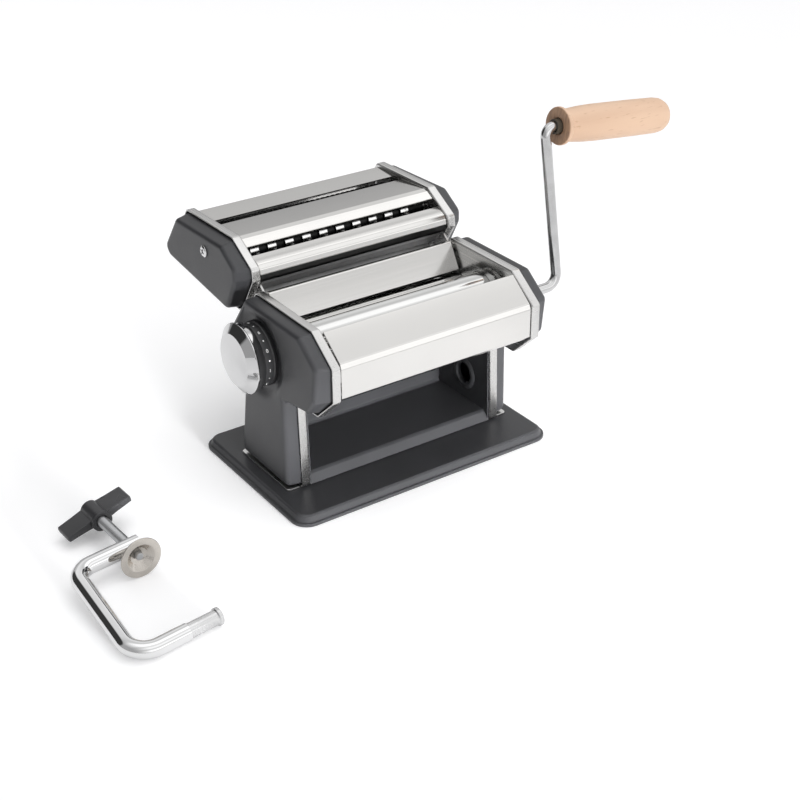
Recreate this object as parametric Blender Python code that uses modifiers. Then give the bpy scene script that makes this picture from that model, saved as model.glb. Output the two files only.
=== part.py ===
"""Hand-cranked pasta machine with its cutter attachment and its loose table clamp.

X runs along the rollers with the crank at +X, Y runs to the back, Z is up, and the
origin is the middle of the base on the table. Sizes below are in millimetres.
"""
import math

import bmesh
import bpy
from mathutils import Vector

MM = 0.001

# Base: a pressed sheet with a deck, a sloping shoulder and a folded rim
BASE_HALF_Y = 65.5
BASE_SHOULDER = 3.5
DECK_Z = 6.8
RIM_Z = 2.6
BASE_SHEET = 1.0
BASE_CORNER = 12.0
RIM_FOLD = 6.0

# Side frames: sheet plates with an outward flange all round, set by the rollers' length
ROLLER_HALF = 70.5
FRAME_IN = ROLLER_HALF + 2.3
FRAME_SHEET = 1.2
FLANGE_OUT = FRAME_IN + 6.1
FOOT_OUT = FRAME_IN + 16.2
BASE_HALF_X = FOOT_OUT + 11.5
GAP = 0.3
FOOT_Z = DECK_Z + GAP
HEAD_TOP = 127.4
HEAD_FRONT = -73.4
COVER_FACE = FRAME_IN + 15.5
COVER_WALL = 1.5
COVER_FOOT = FRAME_IN + 2.7
COVER_TUCK = FRAME_SHEET + GAP

# Outline of a side frame, head and leg together, as Y and Z
FRAME_OUTLINE = [
    (16.0, HEAD_TOP), (-50.8, HEAD_TOP), (HEAD_FRONT, 110.8), (HEAD_FRONT, 87.6),
    (-54.5, 70.0), (-30.6, 70.0), (-32.8, FOOT_Z), (33.0, FOOT_Z),
    (24.5, 56.0), (36.0, 78.0), (36.0, 102.0),
]

# Ridge round the face of a side cover, point for point with the frame
COVER_RIDGE = [
    (15.0, 125.8), (-50.0, 125.8), (-69.4, 111.3), (-66.8, 87.4),
    (-58.0, 76.6), (-28.6, 72.2), (-30.0, 9.0), (30.4, 9.0),
    (22.4, 56.2), (33.6, 78.6), (33.6, 101.4),
]

# Outline of a cutter side plate, and the ridge of its cover
CUTTER_OUTLINE = [
    (105.5, 154.4), (43.0, 155.4), (19.2, 141.4), (18.4, 133.6), (34.6, 108.0),
    (39.5, 106.0), (121.0, 116.0), (127.5, 124.5),
]
CUTTER_RIDGE = [
    (104.6, 150.6), (42.0, 152.4), (24.9, 141.6), (24.9, 132.8), (36.4, 111.6),
    (40.2, 108.9), (118.2, 118.6), (124.0, 125.0),
]

# Smooth rollers: the rear one shifts to set the gap
ROLLER_R = 13.5
ROLLER_SHAFT_R = 4.0
GAP_SMALL = 0.3
GAP_TRAVEL = 2.5
FRONT_AXIS = (-25.8, 104.8)
SHIFT_ANGLE = math.radians(-22.7)
SHIFT = (math.cos(SHIFT_ANGLE), math.sin(SHIFT_ANGLE))
WIDE_CENTRES = 2 * ROLLER_R + GAP_SMALL + GAP_TRAVEL
REAR_AXIS = (FRONT_AXIS[0] + SHIFT[0] * WIDE_CENTRES, FRONT_AXIS[1] + SHIFT[1] * WIDE_CENTRES)
MEAN_CENTRES = WIDE_CENTRES - GAP_TRAVEL / 2
KNOB_AXIS = (FRONT_AXIS[0] + SHIFT[0] * MEAN_CENTRES, FRONT_AXIS[1] + SHIFT[1] * MEAN_CENTRES)

# Drive: crank pinion into the front roller's wheel, ratio two to one
PINION_TEETH = 10
WHEEL_TEETH = 20
PINION_R = 6.0
WHEEL_R = 12.0
CRANK_AXIS = (-43.7, 103.0)
ROLLER_GEAR_TEETH = 15

# Crank: round rod with two bends and a turned wooden grip
ROD_R = 3.5
CRANK_X = FRAME_IN + 45.2
CRANK_TOP = (-27.6, 208.6)
CRANK_LEAN = 2.5
GRIP_TILT = math.radians(6.0)
GRIP_LENGTH = 94.5

# Cutter attachment: two pairs of grooved rollers
NARROW_R = 7.2
NARROW_CORE = 5.2
NARROW_CENTRES = 13.8
NARROW_FRONT = (74.9, 138.5)
NARROW_REAR = (NARROW_FRONT[0] + NARROW_CENTRES, NARROW_FRONT[1])
NARROW_PITCH = 4.1
NARROW_RING = 1.7
WIDE_R = 9.0
WIDE_CORE = 6.6
WIDE_CENTRES_CUT = 17.5
WIDE_FRONT = (36.5, 130.5)
WIDE_ANGLE = math.radians(30.0)
WIDE_REAR = (
    WIDE_FRONT[0] + WIDE_CENTRES_CUT * math.cos(WIDE_ANGLE),
    WIDE_FRONT[1] + WIDE_CENTRES_CUT * math.sin(WIDE_ANGLE),
)
WIDE_PITCH = 13.0
WIDE_RING = 6.2
WIDE_SHIFT = -4.4
CUTTER_HALF = ROLLER_HALF - 0.5
CUTTER_ROD = (64.4, 140.9)

# Table clamp lying on the table in front of the machine
CLAMP_R = 5.5
CLAMP_PATH = [
    (-207.5, -119.9, 5.6), (-241.2, -124.2, 5.6), (-240.2, -41.4, 13.2), (-196.3, -35.6, 13.4),
]
CLAMP_PAD = Vector((-201.8, -47.4, 13.4))
CLAMP_HUB = Vector((-204.6, 6.4, 13.6))
CLAMP_SCREW_R = 3.6

for old in list(bpy.data.objects):
    bpy.data.objects.remove(old, do_unlink=True)

parts = bpy.data.collections.new("pasta_machine")
bpy.context.scene.collection.children.link(parts)
cutters = bpy.data.collections.new("cutters")
bpy.context.scene.collection.children.link(cutters)

STEEL = ((0.72, 0.72, 0.70), 0.25, 1.0)
CHROME = ((0.80, 0.80, 0.80), 0.08, 1.0)
PAINT = ((0.055, 0.055, 0.06), 0.45, 0.0)
BLACK = ((0.015, 0.015, 0.016), 0.4, 0.0)
ZINC = ((0.55, 0.56, 0.57), 0.35, 1.0)
WOOD = ((0.74, 0.52, 0.36), 0.5, 0.0)


def finish(obj, look, smooth=False):
    """Gives one object its own material and its place in the parts collection."""
    colour, roughness, metallic = look
    mat = bpy.data.materials.new(obj.name)
    mat.use_nodes = True
    shader = mat.node_tree.nodes["Principled BSDF"]
    shader.inputs["Base Color"].default_value = (*colour, 1.0)
    shader.inputs["Roughness"].default_value = roughness
    shader.inputs["Metallic"].default_value = metallic
    obj.data.materials.clear()
    obj.data.materials.append(mat)
    if smooth:
        for polygon in obj.data.polygons:
            polygon.use_smooth = True
    parts.objects.link(obj)
    return obj


def tidy_mesh(mesh):
    """Welds a mesh and turns its faces outwards."""
    bm = bmesh.new()
    bm.from_mesh(mesh)
    bmesh.ops.remove_doubles(bm, verts=bm.verts, dist=1e-7)
    bmesh.ops.recalc_face_normals(bm, faces=bm.faces)
    if bm.calc_volume(signed=True) < 0:
        bmesh.ops.reverse_faces(bm, faces=bm.faces)
    bm.to_mesh(mesh)
    bm.free()
    return mesh


def settled(obj):
    """Replaces a curve or a modifier stack by its finished mesh."""
    bpy.context.scene.collection.objects.link(obj)
    bpy.context.view_layer.update()
    graph = bpy.context.evaluated_depsgraph_get()
    mesh = tidy_mesh(bpy.data.meshes.new_from_object(obj.evaluated_get(graph)))
    fresh = bpy.data.objects.new(obj.name + "_mesh", mesh)
    fresh.matrix_world = obj.matrix_world.copy()
    name = obj.name
    bpy.data.objects.remove(obj, do_unlink=True)
    fresh.name = name
    mesh.name = name
    return fresh


def signed_area(outline):
    """Area of a closed outline, positive when it runs anticlockwise."""
    total = 0.0
    for (a, b), (c, d) in zip(outline, outline[1:] + outline[:1]):
        total += a * d - c * b
    return total / 2


def inset(outline, distance):
    """Moves every side of a closed outline inwards by a distance."""
    turn = 1.0 if signed_area(outline) > 0 else -1.0
    count = len(outline)
    result = []
    for i in range(count):
        before = Vector(outline[i - 1])
        here = Vector(outline[i])
        after = Vector(outline[(i + 1) % count])
        first = (here - before).normalized()
        second = (after - here).normalized()
        n1 = Vector((-first.y, first.x)) * turn
        n2 = Vector((-second.y, second.x)) * turn
        middle = (n1 + n2).normalized()
        result.append(tuple(here + middle * (distance / max(0.3, middle.dot(n1)))))
    return result


def rounded(outline, radius, steps=3):
    """Replaces each corner of a closed outline by a short arc."""
    count = len(outline)
    result = []
    for i in range(count):
        before = Vector(outline[i - 1])
        here = Vector(outline[i])
        after = Vector(outline[(i + 1) % count])
        u = (before - here).normalized()
        v = (after - here).normalized()
        half = math.acos(max(-1.0, min(1.0, u.dot(v)))) / 2
        reach = min(radius / math.tan(half), (before - here).length * 0.45, (after - here).length * 0.45)
        start = here + u * reach
        end = here + v * reach
        for k in range(steps + 1):
            t = k / steps
            point = start * (1 - t) ** 2 + here * (2 * t * (1 - t)) + end * t ** 2
            result.append(tuple(point))
    return result


def circle(centre, radius, count=16, turn=0.0):
    """Points round a circle in the YZ plane."""
    return [
        (centre[0] + radius * math.cos(turn + 2 * math.pi * k / count),
         centre[1] + radius * math.sin(turn + 2 * math.pi * k / count))
        for k in range(count)
    ]


def slot_outline(first, second, radius, count=8):
    """Outline of a slot with round ends between two centres."""
    angle = math.atan2(second[1] - first[1], second[0] - first[0])
    result = []
    for centre, base in ((second, angle - math.pi / 2), (first, angle + math.pi / 2)):
        for k in range(count + 1):
            a = base + math.pi * k / count
            result.append((centre[0] + radius * math.cos(a), centre[1] + radius * math.sin(a)))
    return result


def slab(name, outlines, x0, x1, pivot=(0.0, 0.0)):
    """A flat plate in the YZ plane with holes, between two X positions."""
    curve = bpy.data.curves.new(name, "CURVE")
    curve.dimensions = "2D"
    curve.fill_mode = "BOTH"
    curve.extrude = abs(x1 - x0) / 2 * MM
    for outline in outlines:
        spline = curve.splines.new("POLY")
        spline.points.add(len(outline) - 1)
        for point, (y, z) in zip(spline.points, outline):
            point.co = ((y - pivot[0]) * MM, (z - pivot[1]) * MM, 0.0, 1.0)
        spline.use_cyclic_u = True
    obj = bpy.data.objects.new(name, curve)
    obj.rotation_euler = (math.pi / 2, 0.0, math.pi / 2)
    obj.location = ((x0 + x1) / 2 * MM, pivot[0] * MM, pivot[1] * MM)
    return settled(obj)


def turned(name, profile, place, direction=(1.0, 0.0, 0.0), segments=20, closed=False):
    """A turned solid: a profile of radius and distance along its axis from a place."""
    mesh = bpy.data.meshes.new(name)
    points = [(r * MM, 0.0, t * MM) for r, t in profile]
    edges = [(k, k + 1) for k in range(len(points) - 1)]
    if closed:
        edges.append((len(points) - 1, 0))
    mesh.from_pydata(points, edges, [])
    obj = bpy.data.objects.new(name, mesh)
    screw = obj.modifiers.new("turn", "SCREW")
    screw.axis = "Z"
    screw.angle = 2 * math.pi
    screw.steps = segments
    screw.render_steps = segments
    screw.use_merge_vertices = True
    screw.merge_threshold = 1e-6
    obj.rotation_mode = "QUATERNION"
    obj.rotation_quaternion = Vector(direction).to_track_quat("Z", "Y")
    obj.location = Vector(place) * MM
    return settled(obj)


def on_axis(axis):
    """The point of an axis along X that lies in the machine's middle plane."""
    return (0.0, axis[0], axis[1])


def rod(name, axis, spans, segments=20):
    """A stepped round bar along X: spans of start, end and radius."""
    profile = [(0.0, spans[0][0])]
    for start, end, radius in spans:
        profile += [(radius, start), (radius, end)]
    profile.append((0.0, spans[-1][1]))
    return turned(name, profile, on_axis(axis), segments=segments)


def tube(name, points, radius, sides=3):
    """A round bar along a path of points."""
    curve = bpy.data.curves.new(name, "CURVE")
    curve.dimensions = "3D"
    curve.bevel_depth = radius * MM
    curve.bevel_resolution = sides
    curve.use_fill_caps = True
    curve.resolution_u = 1
    spline = curve.splines.new("POLY")
    spline.points.add(len(points) - 1)
    for point, place in zip(spline.points, points):
        point.co = (*(Vector(place) * MM), 1.0)
    return settled(bpy.data.objects.new(name, curve))


def bent(points, radii, steps=5):
    """A path with its inner corners replaced by arcs, one radius for each corner."""
    path = [Vector(points[0])]
    for before, here, after, radius in zip(points, points[1:], points[2:], radii):
        before, here, after = Vector(before), Vector(here), Vector(after)
        u = (before - here).normalized()
        v = (after - here).normalized()
        half = u.angle(v) / 2
        reach = radius / math.tan(half)
        centre = here + (u + v).normalized() * (radius / math.sin(half))
        start = here + u * reach - centre
        end = here + v * reach - centre
        sweep = start.angle(end)
        for k in range(steps + 1):
            t = k / steps
            arc = start * math.sin((1 - t) * sweep) + end * math.sin(t * sweep)
            path.append(centre + arc / math.sin(sweep))
    path.append(Vector(points[-1]))
    return path


def folded(name, line, thickness, x0, x1):
    """A bent sheet: its section follows a line in YZ, with its thickness to the left."""
    count = len(line)
    other = []
    for i, here in enumerate(line):
        here = Vector(here)
        before = (here - Vector(line[i - 1])).normalized() if i else None
        after = (Vector(line[i + 1]) - here).normalized() if i < count - 1 else None
        first = before or after
        second = after or before
        n1 = Vector((-first.y, first.x))
        n2 = Vector((-second.y, second.x))
        middle = (n1 + n2).normalized()
        other.append(tuple(here + middle * (thickness / middle.dot(n1))))
    return slab(name, [list(line) + other[::-1]], x0, x1)


def block(name, low, high):
    """A box between two corners."""
    bm = bmesh.new()
    bmesh.ops.create_cube(bm, size=1.0)
    low, high = Vector(low) * MM, Vector(high) * MM
    for vert in bm.verts:
        vert.co = Vector(((vert.co[i] + 0.5) * (high[i] - low[i]) + low[i]) for i in range(3))
    mesh = bpy.data.meshes.new(name)
    bm.to_mesh(mesh)
    bm.free()
    return bpy.data.objects.new(name, mesh)


def combine(target, tool, operation):
    """Adds or removes a tool shape from a target with a Boolean."""
    cutters.objects.link(tool)
    tool.hide_render = True
    tool.display_type = "WIRE"
    step = target.modifiers.new(operation.lower(), "BOOLEAN")
    step.operation = operation
    step.solver = "EXACT"
    step.object = tool
    return target


def shell(name, side, rings, wall):
    """An open cover: outlines lofted out to a capped face, with a wall inwards."""
    bm = bmesh.new()
    loops = [[bm.verts.new((side * x * MM, y * MM, z * MM)) for y, z in outline] for x, outline in rings]
    for low, high in zip(loops, loops[1:]):
        for k in range(len(low)):
            j = (k + 1) % len(low)
            bm.faces.new((low[k], low[j], high[j], high[k]))
    bm.faces.new(loops[-1])
    bmesh.ops.recalc_face_normals(bm, faces=bm.faces)
    face = bm.faces[:][-1]
    face.normal_update()
    if face.normal.x * side < 0:
        bmesh.ops.reverse_faces(bm, faces=bm.faces)
    mesh = bpy.data.meshes.new(name)
    bm.to_mesh(mesh)
    bm.free()
    obj = bpy.data.objects.new(name, mesh)
    solid = obj.modifiers.new("wall", "SOLIDIFY")
    solid.thickness = wall * MM
    solid.offset = -1.0
    solid.use_even_offset = True
    return settled(obj)


def cover_rings(outline, ridge, radius):
    """Rings of a cover, from inside its plate's flange out to its face."""
    return [
        (COVER_FOOT, rounded(inset(outline, COVER_TUCK), radius, 2)),
        (COVER_FACE - 2.2, rounded(inset(ridge, -0.2), radius, 2)),
        (COVER_FACE - 0.7, rounded(inset(ridge, 0.5), radius, 2)),
        (COVER_FACE, rounded(inset(ridge, 2.0), radius, 2)),
    ]


def gear_outline(teeth, pitch_r, tall, deep, turn, centre, width=0.36):
    """Outline of a gear with straight-sided teeth, one of them pointing along an angle."""
    step = 2 * math.pi / teeth
    result = []
    for k in range(teeth):
        a = turn + k * step
        for radius, share in ((pitch_r - deep, -0.5 * width - 0.12), (pitch_r + tall, -0.5 * width + 0.10),
                              (pitch_r + tall, 0.5 * width - 0.10), (pitch_r - deep, 0.5 * width + 0.12)):
            angle = a + share * step
            result.append((centre[0] + radius * math.cos(angle), centre[1] + radius * math.sin(angle)))
    return result


def gear(name, teeth, pitch_r, tall, deep, turn, axis, x0, x1, bore):
    """A spur gear round an axis along X."""
    outline = gear_outline(teeth, pitch_r, tall, deep, turn, axis)
    return slab(name, [outline, circle(axis, bore, 16)], x0, x1, pivot=axis)


def holes(spots, x0, x1):
    """One cutter made of round or slotted bars along X."""
    obj = None
    for outline in spots:
        piece = slab("hole", [outline], x0, x1)
        piece.data.transform(piece.matrix_world)
        if obj is None:
            obj = bpy.data.objects.new("holes", piece.data)
        else:
            bm = bmesh.new()
            bm.from_mesh(obj.data)
            bm.from_mesh(piece.data)
            bm.to_mesh(obj.data)
            bm.free()
        bpy.data.objects.remove(piece, do_unlink=True)
    return obj


def angle_between(first, second):
    """Direction of the line from one axis to another in the YZ plane."""
    return math.atan2(second[1] - first[1], second[0] - first[0])


# Base plate
def base_ring(half_x, half_y, corner, count=4):
    """Points round a rectangle with round corners, in plan."""
    points = []
    for sx, sy, start in ((1, 1, 0.0), (-1, 1, 90.0), (-1, -1, 180.0), (1, -1, 270.0)):
        for k in range(count + 1):
            a = math.radians(start + 90.0 * k / count)
            points.append((sx * (half_x - corner) + corner * math.cos(a),
                           sy * (half_y - corner) + corner * math.sin(a)))
    return points


base_levels = [
    (RIM_FOLD, 0.0), (0.0, 0.0), (0.0, RIM_Z - 0.5), (0.4, RIM_Z), (BASE_SHOULDER - 0.6, DECK_Z - 0.5),
    (BASE_SHOULDER + 0.5, DECK_Z),
]
bm = bmesh.new()
rings = []
for step, z in base_levels:
    ring = base_ring(BASE_HALF_X - step, BASE_HALF_Y - step, BASE_CORNER - min(step, 5.0))
    rings.append([bm.verts.new((x * MM, y * MM, z * MM)) for x, y in ring])
for low, high in zip(rings, rings[1:]):
    for k in range(len(low)):
        j = (k + 1) % len(low)
        bm.faces.new((low[k], low[j], high[j], high[k]))
bm.faces.new(rings[-1])
bmesh.ops.recalc_face_normals(bm, faces=bm.faces)
top = bm.faces[:][-1]
top.normal_update()
if top.normal.z < 0:
    bmesh.ops.reverse_faces(bm, faces=bm.faces)
mesh = bpy.data.meshes.new("base_plate")
bm.to_mesh(mesh)
bm.free()
base = bpy.data.objects.new("base_plate", mesh)
wall = base.modifiers.new("wall", "SOLIDIFY")
wall.thickness = BASE_SHEET * MM
wall.offset = -1.0
wall.use_even_offset = True
finish(settled(base), PAINT)

# Tray between the legs: floor, ramp, rear wall and a lining on each leg
TRAY_SHEET = 0.9
TRAY_OUT = FRAME_IN - GAP
tray_line = [
    (-32.0, DECK_Z + GAP + 0.6), (-27.6, 13.2), (-26.4, 13.8), (24.8, 13.8), (26.2, 15.2), (21.4, 60.0),
]
tray = folded("tray", tray_line[::-1], TRAY_SHEET, -TRAY_OUT, TRAY_OUT)
lining = [(-31.4, DECK_Z + GAP), (-29.4, 66.0), (20.9, 66.0), (26.0, 13.0), (26.0, DECK_Z + GAP)]
for side in (-1, 1):
    wall_piece = slab("tray_side", [lining], side * (TRAY_OUT - TRAY_SHEET), side * TRAY_OUT)
    combine(tray, wall_piece, "UNION")
EYELET_AXIS = (-3.9, 33.0)
EYELET_HOLE_R = 7.2
EYELET_R = 9.8
combine(tray, holes([circle(EYELET_AXIS, EYELET_R + 0.4)], TRAY_OUT - 12.5, TRAY_OUT + 7.5), "DIFFERENCE")
finish(tray, PAINT)

# Side frames
TIE_RODS = {"tie_rod_front": (-60.0, 87.0), "tie_rod_rear": (27.0, 97.0)}
BUSH_R = 6.5
REAR_CLOSED = (REAR_AXIS[0] - SHIFT[0] * GAP_TRAVEL, REAR_AXIS[1] - SHIFT[1] * GAP_TRAVEL)
frame_round = rounded(FRAME_OUTLINE, 3.0, 2)
frame_inner = rounded(inset(FRAME_OUTLINE, FRAME_SHEET), 3.0, 2)
for side, label in ((-1, "left"), (1, "right")):
    frame = slab("side_frame_" + label, [frame_round], side * FRAME_IN, side * FLANGE_OUT)
    hollow = slab("hollow", [frame_inner], side * (FRAME_IN + FRAME_SHEET), side * (FLANGE_OUT + 5.0))
    combine(frame, hollow, "DIFFERENCE")
    foot_x = sorted((side * (FLANGE_OUT - 1.3), side * FOOT_OUT))
    foot = block("foot", (foot_x[0], -30.4, FOOT_Z + 0.1), (foot_x[1], 31.0, FOOT_Z + FRAME_SHEET - 0.1))
    combine(frame, foot, "UNION")
    spots = [circle(FRONT_AXIS, BUSH_R + GAP), slot_outline(REAR_CLOSED, REAR_AXIS, BUSH_R + GAP)]
    spots += [circle(axis, 2.2 + GAP, 12) for axis in TIE_RODS.values()]
    if side > 0:
        spots.append(circle(CRANK_AXIS, 3.0 + GAP, 16))
        spots.append(circle(EYELET_AXIS, EYELET_HOLE_R))
        ring = slab("eyelet", [circle(EYELET_AXIS, EYELET_R), circle(EYELET_AXIS, EYELET_HOLE_R)],
                    FRAME_IN - 2.4, FRAME_IN + 0.6)
        combine(frame, ring, "UNION")
    combine(frame, holes(spots, side * (FRAME_IN - 5.0), side * (FRAME_IN + 2.5)), "DIFFERENCE")
    finish(frame, STEEL)

# Side covers
side_rings = cover_rings(FRAME_OUTLINE, COVER_RIDGE, 3.0)
DISH_R = 27.4
DISH_FLOOR = COVER_FACE - 3.0
DISH_LIP = COVER_FACE - 0.4
cover_left = shell("side_cover_left", -1, side_rings, COVER_WALL)
combine(cover_left, holes([circle(KNOB_AXIS, DISH_R, 28)], -COVER_FACE - 3.0, -COVER_FACE + 3.0), "DIFFERENCE")
dish_profile = [
    (DISH_R + 1.6, -DISH_LIP), (DISH_R - 0.4, -DISH_LIP), (22.8, -DISH_FLOOR), (5.7, -DISH_FLOOR),
    (5.7, -DISH_FLOOR + 1.4), (23.4, -DISH_FLOOR + 1.4), (DISH_R + 0.2, -DISH_LIP + 0.9),
    (DISH_R + 1.6, -DISH_LIP + 0.9),
]
combine(cover_left, turned("dish", dish_profile, on_axis(KNOB_AXIS), segments=28, closed=True), "UNION")
finish(cover_left, PAINT)
cover_right = shell("side_cover_right", 1, side_rings, COVER_WALL)
combine(cover_right, holes([circle(CRANK_AXIS, 7.4)], COVER_FACE - 3.0, COVER_FACE + 3.0), "DIFFERENCE")
finish(cover_right, PAINT)

# Steel covers of the head
HEAD_SHEET = 0.8
SHEET_HALF = FRAME_IN - 0.4
REAR_HALF = FRAME_IN - 1.8
rear_line = [(3.2, 109.4), (12.6, 126.0), (15.2, 126.6), (34.6, 101.9), (34.6, 79.0), (23.6, 58.0)]
finish(folded("rear_cover", rear_line[::-1], HEAD_SHEET, -REAR_HALF, REAR_HALF), STEEL)
front_line = [
    (-49.4, 121.4), (-52.6, 125.6), (-53.4, 125.9), (-69.6, 113.4), (-71.9, 111.2), (-72.6, 108.4),
    (-72.6, 89.0), (-69.6, 86.2),
]
finish(folded("front_cover", front_line, HEAD_SHEET, -SHEET_HALF, SHEET_HALF), STEEL)

# Tie rods, bushes, scrapers and dough guides
ROD_END = FRAME_IN + 2.8
BUSH_SEAT = FRAME_IN + 1.5
BUSH_OUT = FRAME_IN + 2.5
for label, axis in TIE_RODS.items():
    ends = [(-ROD_END, -SHEET_HALF, 2.2), (-SHEET_HALF, SHEET_HALF, 3.0), (SHEET_HALF, ROD_END, 2.2)]
    finish(rod(label, axis, ends, 10), ZINC, True)
for side, label in ((-1, "left"), (1, "right")):
    bush = [
        (ROLLER_SHAFT_R + GAP, side * SHEET_HALF), (BUSH_R, side * SHEET_HALF), (BUSH_R, side * BUSH_SEAT),
        (8.4, side * BUSH_SEAT), (8.4, side * BUSH_OUT), (ROLLER_SHAFT_R + GAP, side * BUSH_OUT),
    ]
    finish(turned("front_bush_" + label, bush, on_axis(FRONT_AXIS), segments=12, closed=True), BLACK, True)
    finish(turned("bearing_block_" + label, bush, on_axis(REAR_AXIS), segments=12, closed=True), BLACK, True)
SCRAPER_SHEET = 0.7
scraper_lines = {
    "scraper_front": [(-57.6, 83.4), (-47.0, 83.4), (-31.2, 91.4)],
    "scraper_rear": [(0.2, 78.7), (14.0, 76.2), (21.8, 76.2)],
}
for label, line in scraper_lines.items():
    finish(folded(label, line, SCRAPER_SHEET, -CUTTER_HALF, CUTTER_HALF), STEEL)
guide_outline = [(-41.0, 112.0), (-38.6, 120.3), (-14.6, 120.3), (-1.0, 111.5), (-12.6, 100.6)]
for side, label in ((-1, "left"), (1, "right")):
    guide = slab("guide_" + label, [guide_outline], side * (ROLLER_HALF - 2.5), side * (ROLLER_HALF - 1.5))
    combine(guide, holes([circle(FRONT_AXIS, ROLLER_R + 0.4, 32)], -ROD_END, ROD_END), "DIFFERENCE")
    swept = slot_outline(REAR_CLOSED, REAR_AXIS, ROLLER_R + 0.4, 16)
    combine(guide, holes([swept], -ROD_END, ROD_END), "DIFFERENCE")
    finish(guide, STEEL)

# Smooth rollers, their gears and the drive
SHAFT_LEFT = FRAME_IN + 7.4
SHAFT_RIGHT = FRAME_IN + 8.2
GEAR_IN = FRAME_IN + 3.2
WHEEL_OUT = FRAME_IN + 7.8
front_profile = [
    (0.0, -SHAFT_LEFT), (ROLLER_SHAFT_R, -SHAFT_LEFT), (ROLLER_SHAFT_R, -ROLLER_HALF),
    (ROLLER_R - 0.6, -ROLLER_HALF),
    (ROLLER_R, -ROLLER_HALF + 0.6), (ROLLER_R, ROLLER_HALF - 0.6), (ROLLER_R - 0.6, ROLLER_HALF),
    (ROLLER_SHAFT_R, ROLLER_HALF), (ROLLER_SHAFT_R, SHAFT_RIGHT), (0.0, SHAFT_RIGHT),
]
rear_profile = [(r, min(t, SHAFT_RIGHT - 4.0)) for r, t in front_profile]
finish(turned("front_roller", front_profile, on_axis(FRONT_AXIS), segments=24), STEEL, True)
finish(turned("rear_roller", rear_profile, on_axis(REAR_AXIS), segments=24), STEEL, True)
line_angle = angle_between(FRONT_AXIS, REAR_AXIS)
roller_gear = dict(teeth=ROLLER_GEAR_TEETH, pitch_r=MEAN_CENTRES / 2, tall=1.3, deep=2.9)
finish(gear("front_roller_gear", turn=line_angle, axis=FRONT_AXIS, x0=-GEAR_IN - 4.0, x1=-GEAR_IN,
            bore=ROLLER_SHAFT_R + GAP, **roller_gear), ZINC)
finish(gear("rear_roller_gear", turn=line_angle + math.pi + math.pi / ROLLER_GEAR_TEETH, axis=REAR_AXIS,
            x0=-GEAR_IN - 4.0, x1=-GEAR_IN, bore=ROLLER_SHAFT_R + GAP, **roller_gear), ZINC)
drive_angle = angle_between(CRANK_AXIS, FRONT_AXIS)
finish(gear("drive_wheel", WHEEL_TEETH, WHEEL_R, 0.85, 1.4, drive_angle + math.pi, FRONT_AXIS,
            GEAR_IN, WHEEL_OUT, ROLLER_SHAFT_R + GAP), ZINC)
pinion = gear_outline(PINION_TEETH, PINION_R, 0.85, 1.4, drive_angle + math.pi / PINION_TEETH, CRANK_AXIS)
pinion = slab("drive_pinion", [pinion], GEAR_IN, WHEEL_OUT, pivot=CRANK_AXIS)
HUB_IN = WHEEL_OUT + 0.3
HUB_OUT = COVER_FACE + 1.0
SOCKET_FLOOR = HUB_IN + 0.7
hub = [
    (0.0, FRAME_IN - GAP), (3.0, FRAME_IN - GAP), (3.0, GEAR_IN - 0.6), (4.2, GEAR_IN - 0.6), (4.2, HUB_IN),
    (7.0, HUB_IN + 0.1), (7.0, HUB_OUT), (ROD_R + GAP, HUB_OUT),
    (ROD_R + GAP, SOCKET_FLOOR), (0.0, SOCKET_FLOOR),
]
combine(pinion, turned("hub", hub, on_axis(CRANK_AXIS), segments=12), "UNION")
finish(pinion, ZINC)

# Gap adjuster and its pull-out knob
DISC_IN = FRAME_IN + 8.1
DIAL_IN = DISH_FLOOR + GAP
DIAL_OUT = DIAL_IN + 10.5
POCKET = DIAL_IN + 5.4
RETAINER = DIAL_IN + 12.6
adjuster = [
    (0.0, -DISC_IN), (10.0, -DISC_IN), (10.0, -DISC_IN - 2.5), (5.2, -DISC_IN - 2.5), (5.2, -RETAINER),
    (8.2, -RETAINER), (8.2, -RETAINER - 1.2), (0.0, -RETAINER - 1.2),
]
finish(turned("adjuster_shaft", adjuster, on_axis(KNOB_AXIS), segments=16), ZINC, True)
SPRING_TURNS = 4
coil = []
for k in range(SPRING_TURNS * 8 + 1):
    a = 2 * math.pi * k / 8
    x = -POCKET - 0.7 - 5.6 * k / (SPRING_TURNS * 8)
    coil.append((x, KNOB_AXIS[0] + 6.9 * math.cos(a), KNOB_AXIS[1] + 6.9 * math.sin(a)))
finish(tube("adjuster_spring", coil, 0.45, 1), ZINC, True)
dial = [
    (21.3, -DIAL_IN), (21.3, -DIAL_IN - 2.4), (20.9, -DIAL_OUT), (9.2, -DIAL_OUT),
    (9.2, -POCKET), (5.5, -POCKET), (5.5, -DIAL_IN),
]
finish(turned("knob_dial", dial, on_axis(KNOB_AXIS), segments=24, closed=True), BLACK, True)
CAP_IN = DIAL_OUT + GAP
cap = [
    (0.0, 7.8), (17.8, 7.6), (21.2, 5.1), (20.6, 0.0), (22.0, 0.0), (22.9, 5.4), (23.3, 5.9),
    (23.3, 6.4), (18.3, 8.8), (0.0, 9.0),
]
cap = [(r, -CAP_IN - t) for r, t in cap]
finish(turned("knob_cap", cap, on_axis(KNOB_AXIS), segments=24), CHROME, True)

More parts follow.
